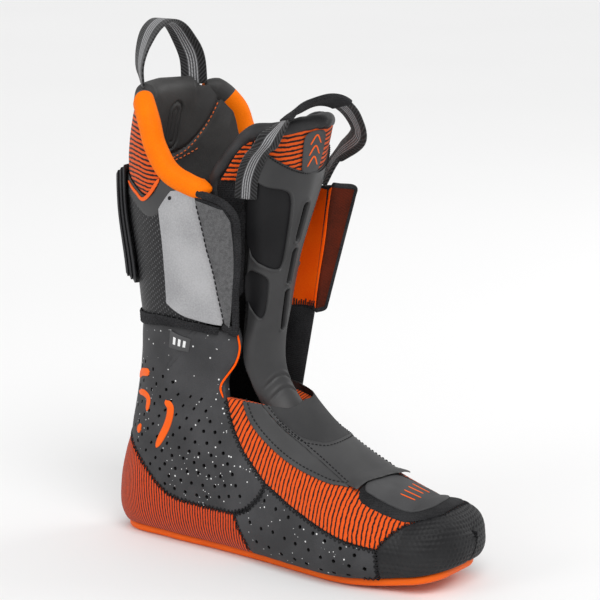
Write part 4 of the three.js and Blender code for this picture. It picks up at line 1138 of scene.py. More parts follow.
def hem_crossings():
    """The slice at which each angle meets the hem line."""
    slices = np.linspace(7.9, 10.8, 300)
    found = []
    for turn in HEM_TURNS:
        line = last_point(slices, turn if turn <= 180 else turn - 360)
        over = line[:, 2] - np.interp(-line[:, 1], HEM_LINE[:, 0], HEM_LINE[:, 1])
        found.append(slices[int(np.argmax(over > 0))])
    found = np.array(found)
    for _ in range(4):
        found[1:-1] = (found[:-2] + 2 * found[1:-1] + found[2:]) / 4
    return found


HEM_FOUND = hem_crossings()
hem_slice = lambda angle: np.interp(angle, HEM_TURNS, HEM_FOUND)


def slab(name, surface, thickness, rows, columns, finishes, body, replaces=(), edge=0.4,
         relief=None, hard=50, flip=False):
    """A sheet of even thickness on any surface of (u, v), with its mapping in millimetres."""
    u, v = np.meshgrid(np.linspace(0, 1, rows + 1), np.linspace(0, 1, columns + 1), indexing="ij")
    points = surface(u, v)
    normals = grid_normals(points)
    if flip:
        normals = -normals
    u_mm, v_mm = run_of(points[:, columns // 2]), run_of(points[rows // 2])
    side = np.minimum(np.minimum(u_mm, u_mm[-1] - u_mm)[:, None],
                      np.minimum(v_mm, v_mm[-1] - v_mm)[None])
    rounding = edge - np.sqrt(np.maximum(edge**2 - (edge - np.minimum(side, edge)) ** 2, 0))
    lift = thickness / 2 - rounding
    if relief is not None:
        lift = lift + relief(u, v, u_mm[:, None] + 0 * v, v_mm[None] + 0 * u)
    outer = points + normals * lift[..., None]
    inner = points - normals * (thickness / 2 - rounding)[..., None]
    flat = outer.reshape(-1, 3)
    count = len(flat)
    faces = facing(flat, grid_faces(rows + 1, columns + 1), normals.reshape(-1, 3))
    back = [[k + count for k in face[::-1]] for face in faces]
    sides = [[b, a, a + count, b + count] for a, b in border_edges(faces)]
    uv = np.stack([u_mm[:, None] + 0 * v, v_mm[None] + 0 * u], -1).reshape(-1, 2)
    kinds = [0] * len(faces) + [int(isinstance(finishes, tuple))] * len(back) + [0] * len(sides)
    return piece(name, np.vstack([flat, inner.reshape(-1, 3)]), faces + back + sides, finishes, body,
                 replaces, np.vstack([uv, uv]), kinds, hard)


def on_last(slice_at, angle_at, depth):
    """A surface of (u, v) on the last."""
    def surface(u, v):
        at, angle = slice_at(u, v), angle_at(u, v)
        depths = depth(at, angle) if callable(depth) else depth
        return skin(at, angle, depths)
    return surface


def four(bottom_left, bottom_right, top_left, top_right, depth):
    """A four-cornered surface on the last, with the corners as slice and angle."""
    def mixed(k):
        return lambda u, v: ((bottom_left[k] * (1 - v) + bottom_right[k] * v) * (1 - u)
                             + (top_left[k] * (1 - v) + top_right[k] * v) * u)
    return on_last(mixed(0), mixed(1), depth)


hem_angle = lambda u, v: 64 + 232 * u
slab("bumpy_hem_tape", on_last(lambda u, v: hem_slice(hem_angle(u, v)) + 0.17 * (v - 0.5), hem_angle,
                               LAY + 0.6), 1.2, 260, 12, TAPE, "liner",
     ("cuff_hem_tape",), relief=lambda u, v, um, vm: 0.28 * np.sin(um * 1.5) * np.sin(vm * 1.5))

# ---------------------------------------------------------------- padded collar

for side, sign in SIDES:
    stops = COLLAR_LINE[:-1][::-1]
    line = spline(np.stack([stops[:, 1], sign * stops[:, 0]], -1), 110)[7:]
    centres = skin(line[:, 0], line[:, 1], -WALL / 2 + 0.3)
    ways = outward(line[:, 0], line[:, 1])
    share = np.linspace(0, 1, len(line))
    taper = np.sqrt(np.clip((1.012 - share) / 0.11, 0, 1)) * np.clip(0.6 + share * 5, 0, 1)
    tall = (8.6 - 2.2 * share) * taper
    leather_end = int(np.argmax(np.abs(line[:, 1]) < (135 if sign < 0 else 126)))
    made = sweep("collar_lycra_roll_" + side, centres, ways, 6.9 * taper + 0.2, tall + 0.2,
                 (LYCRA, LEATHER), "liner", ("collar_roll_" + side,), sides=28, square=2.3,
                 swell=lambda length, turn: 1 + 0.012 * np.sin(length[:, None] / 5 + 3 * np.cos(turn)),
                 finish_of=lambda ring, end=leather_end: int(ring < end))

BACK_TURN = np.linspace(106, 254, 290)
PAD_ROWS = 150
PAD_SLICE, PAD_DEGREE = 36, 1.05
PAD_SEAM = np.vstack([spline([(222, 13.9), (214, 13.2), (204, 12.86), (188, 12.8), (168, 12.82), (152, 12.9),
                             (141, 13.15), (134, 13.5), (130, 13.9)], 60), [(130, 15), (222, 15)]])


def pad_surface():
    """The leather of the upper calf pad. At the back it runs over the rim of the collar."""
    away = np.abs(BACK_TURN - 180)
    wrap = 1 - smooth(25, 34, away)
    top = collar_slice(BACK_TURN)
    fade = 1 - smooth(60, 74, away)
    inner = np.stack([
        np.stack([np.full_like(top, 12.0), -8.6 + 0 * top], -1),
        np.stack([np.full_like(top, 12.08), -9.4 - 2.6 * fade], -1),
        np.stack([12.3 + 0 * top, -9.8 - 4.0 * fade], -1),
        np.stack([0.5 * (12.3 + top - 0.4), -9.8 - 4.4 * fade], -1),
        np.stack([top - 0.40, -10 - 3.6 * fade], -1),
        np.stack([top - 0.06 + 0.20 * wrap, -9.8 - 2.2 * wrap - fade], -1),
        np.stack([top + 0.1 + 0.19 * wrap, -8.8 + 4.6 * wrap], -1),
        np.stack([top + 0.12 + 0.04 * wrap, -8 + 9.8 * wrap], -1),
        np.stack([top + 0.02 - 0.2 * wrap, -7 + 9.6 * wrap], -1),
    ], 0)
    grid = np.stack([spline(column, PAD_ROWS) for column in inner.transpose(1, 0, 2)], 1)
    at = grid[..., 0]
    angle = np.broadcast_to(BACK_TURN, at.shape)
    depth = grid[..., 1]
    du = (angle - 170) * PAD_DEGREE
    dv = (at - 13.38) * PAD_SLICE
    pill = np.sqrt(du**2 + np.maximum(np.abs(dv) - 9, 0) ** 2)
    groove = 1.3 * np.exp(-((pill - 7) / 0.8) ** 2) + 0.7 * np.exp(-((pill - 2.4) / 0.7) ** 2)
    seam_gap = outline_field(PAD_SEAM * [PAD_DEGREE, PAD_SLICE])(angle * PAD_DEGREE, at * PAD_SLICE)
    groove = groove + 1.6 * np.exp(-(seam_gap / 1.7) ** 2)
    inside = smooth(9, 11.5, -depth)
    return at, angle, depth + groove * inside


at, angle, depth = pad_surface()
grid = skin(at, angle, depth)
rows, columns = at.shape
flat = grid.reshape(-1, 3)
pad_normals = grid_normals(grid)
if np.dot(pad_normals[rows // 2, columns // 2], [0, -1, 0]) < 0:
    pad_normals = -pad_normals
quads = facing(flat, grid_faces(rows, columns), pad_normals.reshape(-1, 3))
calf_pad = piece("calf_pad_leather", flat, quads, LEATHER, "liner",
                 ("calf_pad_upper", "collar_rim"))


def pad_stitches(name, line):
    """A row of orange stitches on the pad's leather, along angles and slices."""
    spots, ways = [], []
    for turn, level in spline(line, 160):
        column = int(np.argmin(np.abs(BACK_TURN - turn)))
        row = int(np.argmin(np.abs(at[: PAD_ROWS * 6 // 10, column] - level)))
        spots.append(grid[row, column])
        ways.append(pad_normals[row, column])
    spots, ways = np.array(spots), np.array(ways)
    for _ in range(6):
        spots[1:-1] = (spots[:-2] + spots[1:-1] * 2 + spots[2:]) / 4
    run = run_of(spots)
    stops = np.arange(1, run[-1] - 2, 3.4)
    return stitches(name, resampled(spots, run, stops), resampled(spots, run, stops + 2.1),
                    unit(resampled(ways, run, stops)), ORANGE_THREAD, radius=0.45,
                    arch=0.35)


pad_stitches("pad_seam_stitches", PAD_SEAM[:-2] - [0, 0.07])
pad_stitches("pad_lower_stitches", [(226, 12.72), (205, 12.68), (180, 12.66), (155, 12.72), (140, 12.8)])

lower_place = on_last(lambda u, v: 10.1 + 1.8 * u, lambda u, v: 112 + 136 * v,
                      -WALL - LAY - PAD_THICKNESS / 2)
made = slab("lower_calf_pad", lower_place, PAD_THICKNESS, 30, 60, LEATHER, "liner",
            ("calf_pad_lower",), edge=2.2, flip=True)

# ---------------------------------------------------------------- calf shim, inlays and badge

SHIM_LOW = 2 * LAY + 1
SHIM_LAYERS = (("under", 0, 0.1, 2.3), ("middle", 0.05, 2.5, 4.4), ("top", 0.1, 4.6, 6.5))
for layer_name, inset, low, high in SHIM_LAYERS:
    bottom, top = 10.82 + inset, 12.66 - inset
    reach = 37 - inset * 40
    layer_place = on_last(lambda u, v: bottom + (top - bottom) * u,
                          lambda u, v: 180 + reach * (2 * v - 1), SHIM_LOW + (low + high) / 2)
    made = slab("calf_shim_" + layer_name, layer_place, high - low, 30, 50, SHIM, "shim",
                ("calf_shim",) if layer_name == "under" else (), edge=0.9,
                relief=lambda u, v, um, vm: -0.5 * np.exp(-(((vm % 12) - 6) / 0.7) ** 2))


def stripe(name, line, width, low, thickness, finish, body, replaces=(), end_power=6):
    """A raised strip with rounded ends along slices and angles on the last."""
    path = spline(line, 60)
    at, angle = path.T
    depths = low(at, angle) if callable(low) else low
    centres = skin(at, angle, depths + thickness / 2)
    share = np.linspace(-1, 1, len(path))
    half = width / 2 * np.sqrt(np.maximum(0.03, 1 - np.abs(share) ** end_power))
    across = np.cross(unit(np.gradient(centres, axis=0)), outward(at, angle))
    return sweep(name, centres, across, half, thickness / 2, finish, body, replaces, 20, 4.0)


INLAYS = [
    ("dash", 5.6, [(9.44, -152), (9.4, -141), (9.24, -127)], 10),
    ("hook", 4.6, [(9.1, -142), (8.95, -131), (8.72, -121), (8.5, -118.5)], 5),
    ("dot", 7.4, [(8.42, -127), (8.34, -124), (8.26, -121)], 3),
    ("arc", 5.8, [(8.2, -98), (7.86, -92.5), (7.5, -93), (7.3, -100.5)], 6),
]
for name, width, line, power in INLAYS:
    for side, sign in SIDES:
        stripe("rubber_inlay_" + name + "_" + side, turn_over(line, sign), width, 0.2, 1.3, INLAY, "liner",
               ("inlay_" + name + "_" + side,), power)

for side, sign in SIDES:
    stripe("collar_chevron_" + side, turn_over(CHEVRON, sign), 2.6, 0.8, 0.8, INLAY, "liner",
           end_power=12)
badge_at = four((9.32, -106), (8.76, -87), (9.66, -106), (9.02, -87), LAY + 0.5)
slab("size_badge_film", badge_at, 1.0, 12, 24, BADGE, "liner", ("size_badge",), edge=0.5)
for k, (low, high) in enumerate(((0.2, 0.32), (0.44, 0.56), (0.68, 0.8))):
    slab("size_badge_bar_%d" % k,
         lambda u, v, a=low, b=high: badge_at(0.28 + 0.46 * u, a + (b - a) * v) + outward(9.2, -97) * 0.55,
         0.2, 4, 4, BARS, "liner", edge=0.1)

# ---------------------------------------------------------------- vamp overlay and toe badge

OVERLAY_OUTER = [(6.0, -49), (5.62, -52.5), (4.94, -55), (3.89, -54), (3.09, -50), (2.47, -44), (2.19, -38),
                 (2.0, -34.5)]
STITCH_LINE = [(6.0, -45), (5.07, -43), (4.04, -40), (3.32, -36), (2.6, -34), (2.09, -35), (1.9, -36)]
outer_line, stitch_line = spline(OVERLAY_OUTER, 60), spline(STITCH_LINE, 60)
throat_height = lambda forward: np.interp(forward, THROAT_LINE[:, 0], THROAT_LINE[:, 1])
below_throat = lambda at, angle, point: (throat_height(-point[..., 1]) - 0.6 + 5 * smooth(-30, -5, angle)
                                         - point[..., 2])
for side, sign in SIDES:
    outline = turn_over([*outer_line, *stitch_line[::-1]], sign)
    field = all_of(scaled_field(outline, FOOT_SLICE, DEGREE), below_throat)
    span = one_side(sign, 28, 60)
    panel("overlay_strip_" + side, (1.7, 6.6), span, 1.1, field, SYNTHETIC,
          ("vamp_overlay_" + side,), top=LAY + SKIN, thickness=SKIN, edge=0.5)

FRONT_EDGE = np.array([(-38, 1.93), (-24, 1.88), (-10, 1.78), (9, 1.72), (30, 1.76), (38, 1.86)])
front_slice = lambda angle: np.interp(angle, FRONT_EDGE[:, 0], FRONT_EDGE[:, 1])
stitch_angle = lambda at: np.interp(at, np.array(STITCH_LINE)[::-1, 0], -np.array(STITCH_LINE)[::-1, 1])
U_CUT = [(4.9, -38.5), (4.3, -38), (3.9, -36), (3.5, -33), (3.2, -27.5), (2.95, -20), (2.84, -10),
         (2.82, 0), (2.86, 10), (2.97, 20), (3.22, 28), (3.55, 34), (3.95, 37.5), (4.4, 39), (4.9, 39.5)]
u_line = spline(U_CUT, 80)
u_region = scaled_field([(8, -40), *u_line, (8, 41)], FOOT_SLICE, DEGREE)


def centre_field(at, angle, point):
    sides = (stitch_angle(at) - np.abs(angle)) * DEGREE
    front = (at - front_slice(angle)) * SHIN_SLICE
    return np.min([sides, front, -u_region(at, angle), below_throat(at, angle, point)], axis=0)


lifted = lambda at, angle: LAY + SKIN + 0.25 + 2.6 * (1 - smooth(0, 0.28, at - front_slice(angle)))
panel("overlay_centre", (1.6, 6.6), (-46, 46), 1.0, centre_field, SYNTHETIC,
      ("vamp_overlay_centre",), top=lifted, thickness=SKIN + 0.2, edge=0.5)
panel("instep_softshell", (2.7, 6.6), (-44, 44), 1.3,
      all_of(lambda at, angle, point: u_region(at, angle) + 1.2, below_throat), INSTEP,
      ("instep_panel",), top=LAY + SKIN - 0.35, thickness=SKIN, edge=0.5)
inset_line = lambda points, shift: [(s, a + shift) for s, a in points]
for side, sign in SIDES:
    first = 1 + (sign > 0)
    edge_line = turn_over(inset_line(OVERLAY_OUTER[first:], 3.2), sign)
    seam_line = turn_over(inset_line(STITCH_LINE[first:-1], 2.4), sign)
    dashes("overlay_edge_stitches_" + side, edge_line, THREAD,
           depth=LAY + SKIN + 0.1, dash=1.9, pitch=3.0, radius=0.36)
    dashes("overlay_seam_stitches_" + side, seam_line, THREAD,
           depth=LAY + SKIN + 0.35, dash=1.9, pitch=3.0, radius=0.36)
dashes("u_cut_stitches", [(s - 0.07 * (abs(a) < 36), a * 1.06) for s, a in U_CUT[1:-1]], THREAD,
       depth=LAY + SKIN + 0.35, dash=1.6, pitch=2.7, radius=0.34)

TOE_BADGE = [(1.9, -30), (1.86, -6), (1.72, 12), (1.35, 19), (0.86, 19), (0.78, 2), (0.78, -18), (0.95, -31),
             (1.27, -34), (1.6, -32)]
badge_outline = smooth_corners(TOE_BADGE)
under_outline = smooth_corners([(1.95, -41), (1.9, 20), (1.3, 29), (0.62, 28), (0.55, -10), (0.62, -34),
                                (0.95, -46), (1.5, -46)])
panel("toe_badge_knit", (0.45, 2.1), (-52, 36), 1.0, scaled_field(under_outline, 34, 0.8), TAPE,
      top=0.8, thickness=0.9, edge=0.6)
panel("toe_badge_shell", (0.6, 2.1), (-40, 26), 0.8, scaled_field(badge_outline, 34, 0.8), BADGE,
      ("toe_badge",), top=2.1, thickness=1.4, edge=0.9)
for k in range(4):
    start = (1.42 + 0.02 * k, -15 + 7.5 * k)
    stripe("toe_badge_dash_%d" % k, [start, (start[0] - 0.12, start[1] + 0.6),
                                     (start[0] - 0.26 - 0.05 * (k % 2), start[1] + 1.2)], 1.1, 2.0, 0.35,
           INLAY, "liner", end_power=12)

# ---------------------------------------------------------------- tongue

WAIST = np.array([(4, 29), (6, 29), (7, 33), (7.6, 35), (8.6, 42), (9.4, 48), (12, 52), (13, 52)])
FLAP_EDGE = np.array([(8.6, 60), (9.6, 68), (10.6, 73), (12, 75)])
waist = lambda at: np.interp(at, WAIST[:, 0], WAIST[:, 1])
flap_edge = lambda at: np.interp(at, FLAP_EDGE[:, 0], FLAP_EDGE[:, 1])
lean = lambda at: -17 * (1 - smooth(5.8, 9, at))
tongue_dip = lambda at: 9 * (1 - smooth(4.5, 7.5, at))
TONGUE_BOTTOM = 3.75
shield_top = lambda angle: 11.58 + 0.7 * (angle / 40) ** 2
top_slice = lambda angle: 12.74 - 0.9 * smooth(48, 78, np.abs(angle))


def tongue_depth(at, angle):
    start = 20 + 16 * smooth(8, 11, at)
    return -0.5 - tongue_dip(at) - TONGUE_TUCK * smooth(0, 20, np.abs(angle - lean(at)) - start)


def over_tongue(extra):
    return lambda at, angle: tongue_depth(at, angle) + extra


above_throat = lambda at, angle, point: np.where(
    -point[..., 1] < 95, point[..., 2] - throat_height(-point[..., 1]) + 9, 5)


def pad_field(at, angle, point):
    sides = (waist(at) - np.abs(angle - lean(at))) * DEGREE
    top = (top_slice(angle) - 0.16 - at) * SHIN_SLICE
    return np.min([sides, (at - TONGUE_BOTTOM) * 22, top, above_throat(at, angle, point) - 6], axis=0)


made, _ = panel("tongue_padding", (3.6, 12.9), (-56, 54), 2.0, pad_field, (LINING, LINING),
                ("tongue_pad",), "tongue", top=tongue_depth,
                thickness=TONGUE_THICKNESS, edge=3)


def flap_field(at, angle, point):
    inner = (np.abs(angle) - waist(at) - 0.6) * 0.9
    outer = (flap_edge(at) - np.abs(angle)) * 0.9
    top = (top_slice(angle) - 0.14 - at) * SHIN_SLICE
    return np.min([inner, outer, (at - 8.8) * 30, top], axis=0)


for side, sign in SIDES:
    span = one_side(sign, 41, 76)
    made, _ = panel("tongue_wing_flap_" + side, (8.7, 12.8), span, 2.0, flap_field, (TAPE, LINING),
                    ("tongue_flap_" + side,), "tongue",
                    top=over_tongue(-1), thickness=TONGUE_THICKNESS - 2, edge=2)


def window_field(outline):
    return scaled_field(outline, 27, 0.95)


UPPER_WINDOW = smooth_corners([(11.75, -49.5), (11.5, -40), (11.25, -22), (10.9, -17), (9.3, -13), (8.95, -17),
                               (9.9, -49.5)])
LOWER_WINDOW = smooth_corners([(9.55, -47), (9.05, -30), (8.75, -25.5), (7.7, -25), (7.45, -28), (8.0, -36),
                               (8.8, -44.5)])
windows = [window_field(turn_over(shape, sign))
           for shape in (UPPER_WINDOW, LOWER_WINDOW) for sign in (-1, 1)]
SLOTS = [(6.4, 8.1), (8.35, 9.6), (9.8, 10.85)]
slot_centre = lambda at: -3.6 + 0.5 * (at - 8.5) + 0.12 * lean(at)


def slot_gap(at, angle):
    """How far inside the nearest slot a point is, in millimetres."""
    gaps = []
    for low, high in SLOTS:
        middle, half = (low + high) / 2, (high - low) / 2 * FOOT_SLICE - 2.5
        du = np.maximum(np.abs(at - middle) * FOOT_SLICE - half, 0)
        gaps.append(2.5 - np.hypot(du, (angle - slot_centre(at)) * DEGREE))
    return np.max(gaps, axis=0)


def window_gap(at, angle):
    return np.max([window(at, angle) for window in windows], axis=0)


def shield_field(at, angle, point):
    sides = (waist(at) - 1.5 - np.abs(angle - lean(at))) * DEGREE
    top = (shield_top(angle) - at) * SHIN_SLICE
    low = (at - TONGUE_BOTTOM - 0.16) * 22
    return np.min([sides, top, low, above_throat(at, angle, point), -slot_gap(at, angle),
                   -window_gap(at, angle)], axis=0)


def shield_relief(at, angle, surface, gap):
    lip = 0.5 * np.exp(-((window_gap(at, angle) + 1.0) / 0.6) ** 2)
    slot_lip = 0.9 * np.exp(-((slot_gap(at, angle) + 1.3) / 0.9) ** 2)
    crease = 0
    for start, lift in ((5.25, 0.75), (4.86, 0.6)):
        line = start - (angle + 32) * 0.018 + 0.10 * np.cos(np.radians(angle * 3))
        fade = smooth(-42, -30, angle) * (1 - smooth(-4, 12, angle))
        crease = crease - lift * fade * np.exp(-((at - line) * FOOT_SLICE / 0.8) ** 2)
        crease = crease + 0.5 * lift * fade * np.exp(-(((at - line) * FOOT_SLICE - 2.2) / 1.2) ** 2)
    spine = 0.9 * np.exp(-((angle - slot_centre(at)) / 7) ** 2) * smooth(6.0, 6.8, at)
    return lip + slot_lip + crease + spine


panel("moulded_shin_shield", (3.6, 12.3), (-54, 52), 0.7, shield_field, (SHIELD, SHIELD),
      ("tongue_shield",), "tongue",
      top=over_tongue(LAY + SHIELD_THICKNESS), thickness=SHIELD_THICKNESS,
      edge=0.6, relief=shield_relief, hard=60)
for name, shape in (("upper", UPPER_WINDOW), ("lower", LOWER_WINDOW)):
    for side, sign in SIDES:
        outline = turn_over(shape, -sign)
        grown = window_field(outline)
        turns = [point[1] for point in outline]
        panel("shield_window_%s_%s" % (name, side), (7.2, 12), (min(turns) - 4, max(turns) + 4), 0.9,
              lambda at, angle, point, grown=grown: grown(at, angle) + 1.2, (WINDOW, WINDOW),
              ("shield_window_%s_%s" % (name, side),), "tongue",
              top=over_tongue(LAY + 0.5), thickness=0.9, edge=0.2)


def band_field(at, angle, point):
    return np.min([(47 - np.abs(angle)) * 0.9, (at - shield_top(angle) + 0.2) * SHIN_SLICE,
                   (12.62 - at) * SHIN_SLICE], axis=0)


panel("tongue_rib_band", (11.3, 12.9), (-50, 50), 1.0, band_field, (COLLAR_KNIT, LINING),
      ("tongue_knit_band",), "tongue",
      top=over_tongue(LAY + SKIN), thickness=SKIN, edge=0.4,
      mapping=lambda at, angle, p: np.stack([p[:, 2] + 0.9 * np.sin(angle / 6), angle * 0.9], -1))

for side, sign in SIDES:
    span = one_side(sign, 46, 74)
    panel("tongue_rib_corner_" + side, (11.4, 12.8), span, 1.2,
          lambda at, angle, point: np.min([
              (np.abs(angle) - 48) * 0.9, (flap_edge(at) - 5 - np.abs(angle)) * 0.9,
              (at - 11.55 - 0.012 * (np.abs(angle) - 47)) * SHIN_SLICE,
              (top_slice(angle) - 0.2 - at) * SHIN_SLICE], axis=0),
          (COLLAR_KNIT, LINING), (), "tongue",
          top=over_tongue(0.1), thickness=1.0, edge=0.4,
          mapping=lambda at, angle, p: np.stack([p[:, 2], angle * 0.9], -1))
LABEL = smooth_corners([(11.5, -13), (11.5, 4), (12.1, 6), (12.58, 5.5), (12.58, -15), (12.1, -15)], 2)
panel("tongue_label_patch", (11.4, 12.85), (-20, 10), 0.8,
      scaled_field(LABEL, SHIN_SLICE, 0.95), BADGE,
      ("tongue_label",), "tongue", top=over_tongue(2 * LAY + 2 * SKIN),
      thickness=SKIN, edge=0.5)
LABEL_DEPTH = over_tongue(2 * LAY + 2 * SKIN - 0.1)
for k, lift in enumerate((0.0, 0.26, 0.52)):
    stripe("label_chevron_%d" % k, [(11.74 + lift, -9.5), (11.95 + lift, -4.5), (11.74 + lift, 0.5)], 1.2,
           LABEL_DEPTH, 0.4, INLAY, "tongue", end_power=12)

roll_depth = over_tongue(0.8 - TONGUE_THICKNESS / 2)
wrinkle = lambda length, turn: 1 + 0.035 * np.sin(
    length[:, None] / 2.3 + 2 * np.sin(turn * 2 + length[:, None] / 9))
side_stops = [(s, flap_edge(s)) for s in np.arange(10, 11.7, 0.42)]
side_stops += [(11.93, 73), (12.18, 66), (12.44, 57)]
roll_stops = [(s, -a) for s, a in side_stops]
roll_stops += [(top_slice(a) - 0.04, a) for a in (-46, -34, -20, -6, 8, 22, 36, 47)]
roll_stops += side_stops[::-1]
roll_line = spline(roll_stops, 330)
roll_share = 1 - smooth(44, 62, np.abs(roll_line[:, 1]))
roll_centres = skin(roll_line[:, 0], roll_line[:, 1], roll_depth(*roll_line.T) - 0.8 + 0.8 * roll_share)
made = sweep("tongue_padded_roll", roll_centres, outward(*roll_line.T), 4.1 + 1.3 * roll_share,
             4.1 + 1.5 * roll_share, PIPING, "tongue",
             ("tongue_edge_roll", "tongue_flap_roll_lateral", "tongue_flap_roll_medial"), 24, swell=wrinkle)
top_turn = np.linspace(-44, 44, 60)
dashes("shield_top_stitches", np.stack([shield_top(top_turn) - 0.04, top_turn], -1), THREAD,
       "tongue", depth=over_tongue(LAY + SHIELD_THICKNESS + 0.1), dash=1.3,
       pitch=2.1, radius=0.55, curved=False)

# ---------------------------------------------------------------- wings and lapels

HINGE_LINE = np.array([(8.4, -58.5), (9.6, -69.5), (10.67, -77), (11.9, -82.5)])
FREE_LINE = np.array([(8, -54), (9.3, -57), (10.5, -58.5), (11.05, -60), (11.4, -65.5)])


def wing_place(inset):
    def place(u, v):
        low = 8.62 - 0.54 * v + inset / 30
        high = 11.78 - 0.40 * v - inset / 30
        at = low + (high - low) * u
        start = np.interp(at, HINGE_LINE[:, 0], HINGE_LINE[:, 1]) + inset
        end = np.interp(at, FREE_LINE[:, 0], FREE_LINE[:, 1]) - inset
        return at, start + (end - start) * v
    return place


def wing_surface(inset, depth):
    place = wing_place(inset)
    return lambda u, v: skin(*place(u, v), depth)


# The inner side of this wing takes the lining with painted shade.
slab("lateral_wing_cloth", wing_surface(0, LAY + WING_THICKNESS / 2), WING_THICKNESS, 70, 30,
     (TAPE, SHADED_WING_LINING), "lateral_wing", ("wing_lateral",), edge=0.8, flip=True)
PATCH_DEPTH = LAY + WING_THICKNESS + 0.4
slab("heather_wing_patch", lambda u, v: wing_surface(0, PATCH_DEPTH)(0.03 + 0.95 * u, 0.02 + 0.9 * v),
     0.5, 60, 26, HEATHER, "lateral_wing", ("reflective_patch_wing",), edge=0.2,
     flip=True)
wing_edge = [(8.55, -60), (8.3, -55), (8.02, -49.5)] + [(s, a + 1.5) for s, a in FREE_LINE[1:]]
wing_edge += [(11.62, -71), (11.82, -80)]
binding_line = spline(wing_edge, 220)
binding_centres = skin(binding_line[:, 0], binding_line[:, 1], LAY + WING_THICKNESS / 2 + 0.4)
ribbed = lambda length, turn: 1 + 0.05 * np.sin(length[:, None] * 2.2 + turn)
sweep("wing_edge_binding_lateral", binding_centres,
      np.cross(unit(np.gradient(binding_centres, axis=0)), outward(*binding_line.T)), 2.6, 1.8, TAPE,
      "lateral_wing", ("wing_binding_lateral",), 16, 2.6, swell=ribbed)
fold = wing_place(0)
fold_at, fold_angle = fold(np.linspace(0.02, 0.98, 40), np.full(40, 0.03))
dashes("wing_fold_stitches", np.stack([fold_at, fold_angle], -1), THREAD, "lateral_wing",
       depth=LAY + WING_THICKNESS + 0.6, dash=2.6, pitch=4.0, radius=0.5, curved=False)
SILVER_PATCH = [(10.2, -109.5), (8.62, -62), (8.75, -60.8), (9.6, -68.8), (10.67, -76), (11.72, -81),
                (11.98, -92), (12.0, -96), (11.75, -106)]
panel("silver_cuff_patch", (8.6, 12.1), (-112, -60), 1.0, scaled_field(SILVER_PATCH, 50, 0.75), SILVER,
      ("reflective_patch_cuff",), top=LAY + 0.6, thickness=0.6, edge=0.2,
      mapping=lambda at, angle, p: np.stack([-p[:, 1], p[:, 2]], -1))
stripe("patch_rivet", [(11.86, -97.5), (11.88, -96.7), (11.9, -96)], 2.4, LAY + 0.5, 0.5, THREAD,
       "liner", end_power=2.5)

point3 = lambda x, forward, height: np.array([x, -forward, height], float)
HINGE_MEDIAL = (point3(41, 60, 166), point3(52, 67, 254))
FREE_MEDIAL = (point3(49, 63, 167), point3(71, 74, 250))
on_line = lambda ends, u: ends[0] + (ends[1] - ends[0]) * np.asarray(u)[..., None]


def medial_wing(u, v):
    a, b = on_line(HINGE_MEDIAL, u), on_line(FREE_MEDIAL, u)
    start = 0.15 / np.linalg.norm(b - a, axis=-1)
    share = start + (1 - start) * np.asarray(v)
    return a + (b - a) * share[..., None]


# The front of the medial wing takes the lining with painted shade.
slab("medial_wing_cloth", medial_wing, WING_THICKNESS, 50, 14, (SHADED_WING_LINING, TAPE), "medial_wing",
     ("wing_medial",), edge=0.8, flip=True)
edge_points = [medial_wing(0, 0.1), medial_wing(0, 0.9), medial_wing(0.04, 1)]
edge_points += [medial_wing(u, 1) for u in np.arange(0.2, 0.95, 0.24)]
edge_points += [medial_wing(1, 0.94), medial_wing(1, 0.3), medial_wing(1, 0.05)]
cordage("wing_edge_binding_medial", spline(edge_points, 160), BINDING_RADIUS, TAPE, "medial_wing",
        ("wing_binding_medial",), 14)

LAPEL_THICKNESS = 2.6


def lapel(inward):
    def surface(u, v):
        root = skin(8.75 + 2.75 * u, 63 + 13 * u, LAPEL_THICKNESS / 2 + 0.35)
        bow = 3 * np.sin(np.pi * v)
        shift = np.stack([bow - inward, -0.5 * inward + 0 * v, 0 * v], -1)
        return root + (on_line(HINGE_MEDIAL, u) - root) * v[..., None] + shift
    return surface


slab("medial_lapel_shell", lapel(0), LAPEL_THICKNESS, 50, 24, TAPE, "liner",
     ("lapel_medial",), edge=0.8)
lining_shift = LAPEL_THICKNESS / 2 + 0.5 + LAY
lining_place = lambda u, v: lapel(lining_shift * (1 - 0.75 * v))(0.02 + 0.96 * u, 0.2 + 0.8 * v)
slab("medial_orange_lining", lining_place, 1.2, 60, 40, LAPEL, "liner",
     ("lapel_lining_medial",), edge=0.4,
     relief=lambda u, v, um, vm: 0.5 * np.sin(um / 9 + 3 * v) * v)


foot_share = np.linspace(0.24, 0.97, 13)
foot_points = lapel(lining_shift)(0 * foot_share + 0.03, foot_share)
lift = rng.uniform(2.0, 5.5, (len(foot_share), 1)) * np.array([[0, 0, 1.0]])
stitches("lining_foot_stitches", foot_points - lift * 0.4, foot_points + lift,
         np.tile(unit(np.array([[-1.0, -0.4, 0]])), (len(foot_share), 1)), THREAD, radius=0.5)


def ankle_lapel(u, v):
    root = skin(5.9 + 3.0 * u, 64 - 1.5 * u, LAPEL_THICKNESS / 2 + 0.35)
    edge = on_line((point3(29, 57, 112), point3(41, 60.5, 169)), u)
    bow = np.stack([2 * np.sin(np.pi * v), 0 * v, 0 * v], -1)
    return root + (edge - root) * v[..., None] + bow


slab("ankle_lapel_shell", ankle_lapel, LAPEL_THICKNESS, 30, 16, TAPE, "liner",
     ("ankle_lapel_medial",), edge=0.9)

FOLD_LINE = [(6.35, -62), (6.72, -60), (6.82, -50), (7.2, -46.5), (7.9, -50)]
stripe("throat_orange_fold", inset_line(FOLD_LINE, 2.2), 1.4, LAY - 0.2, 0.9, LAPEL, "liner",
       ("throat_fold_lateral",), 8)

# ---------------------------------------------------------------- webbing loops


LOOP_RINGS = 110


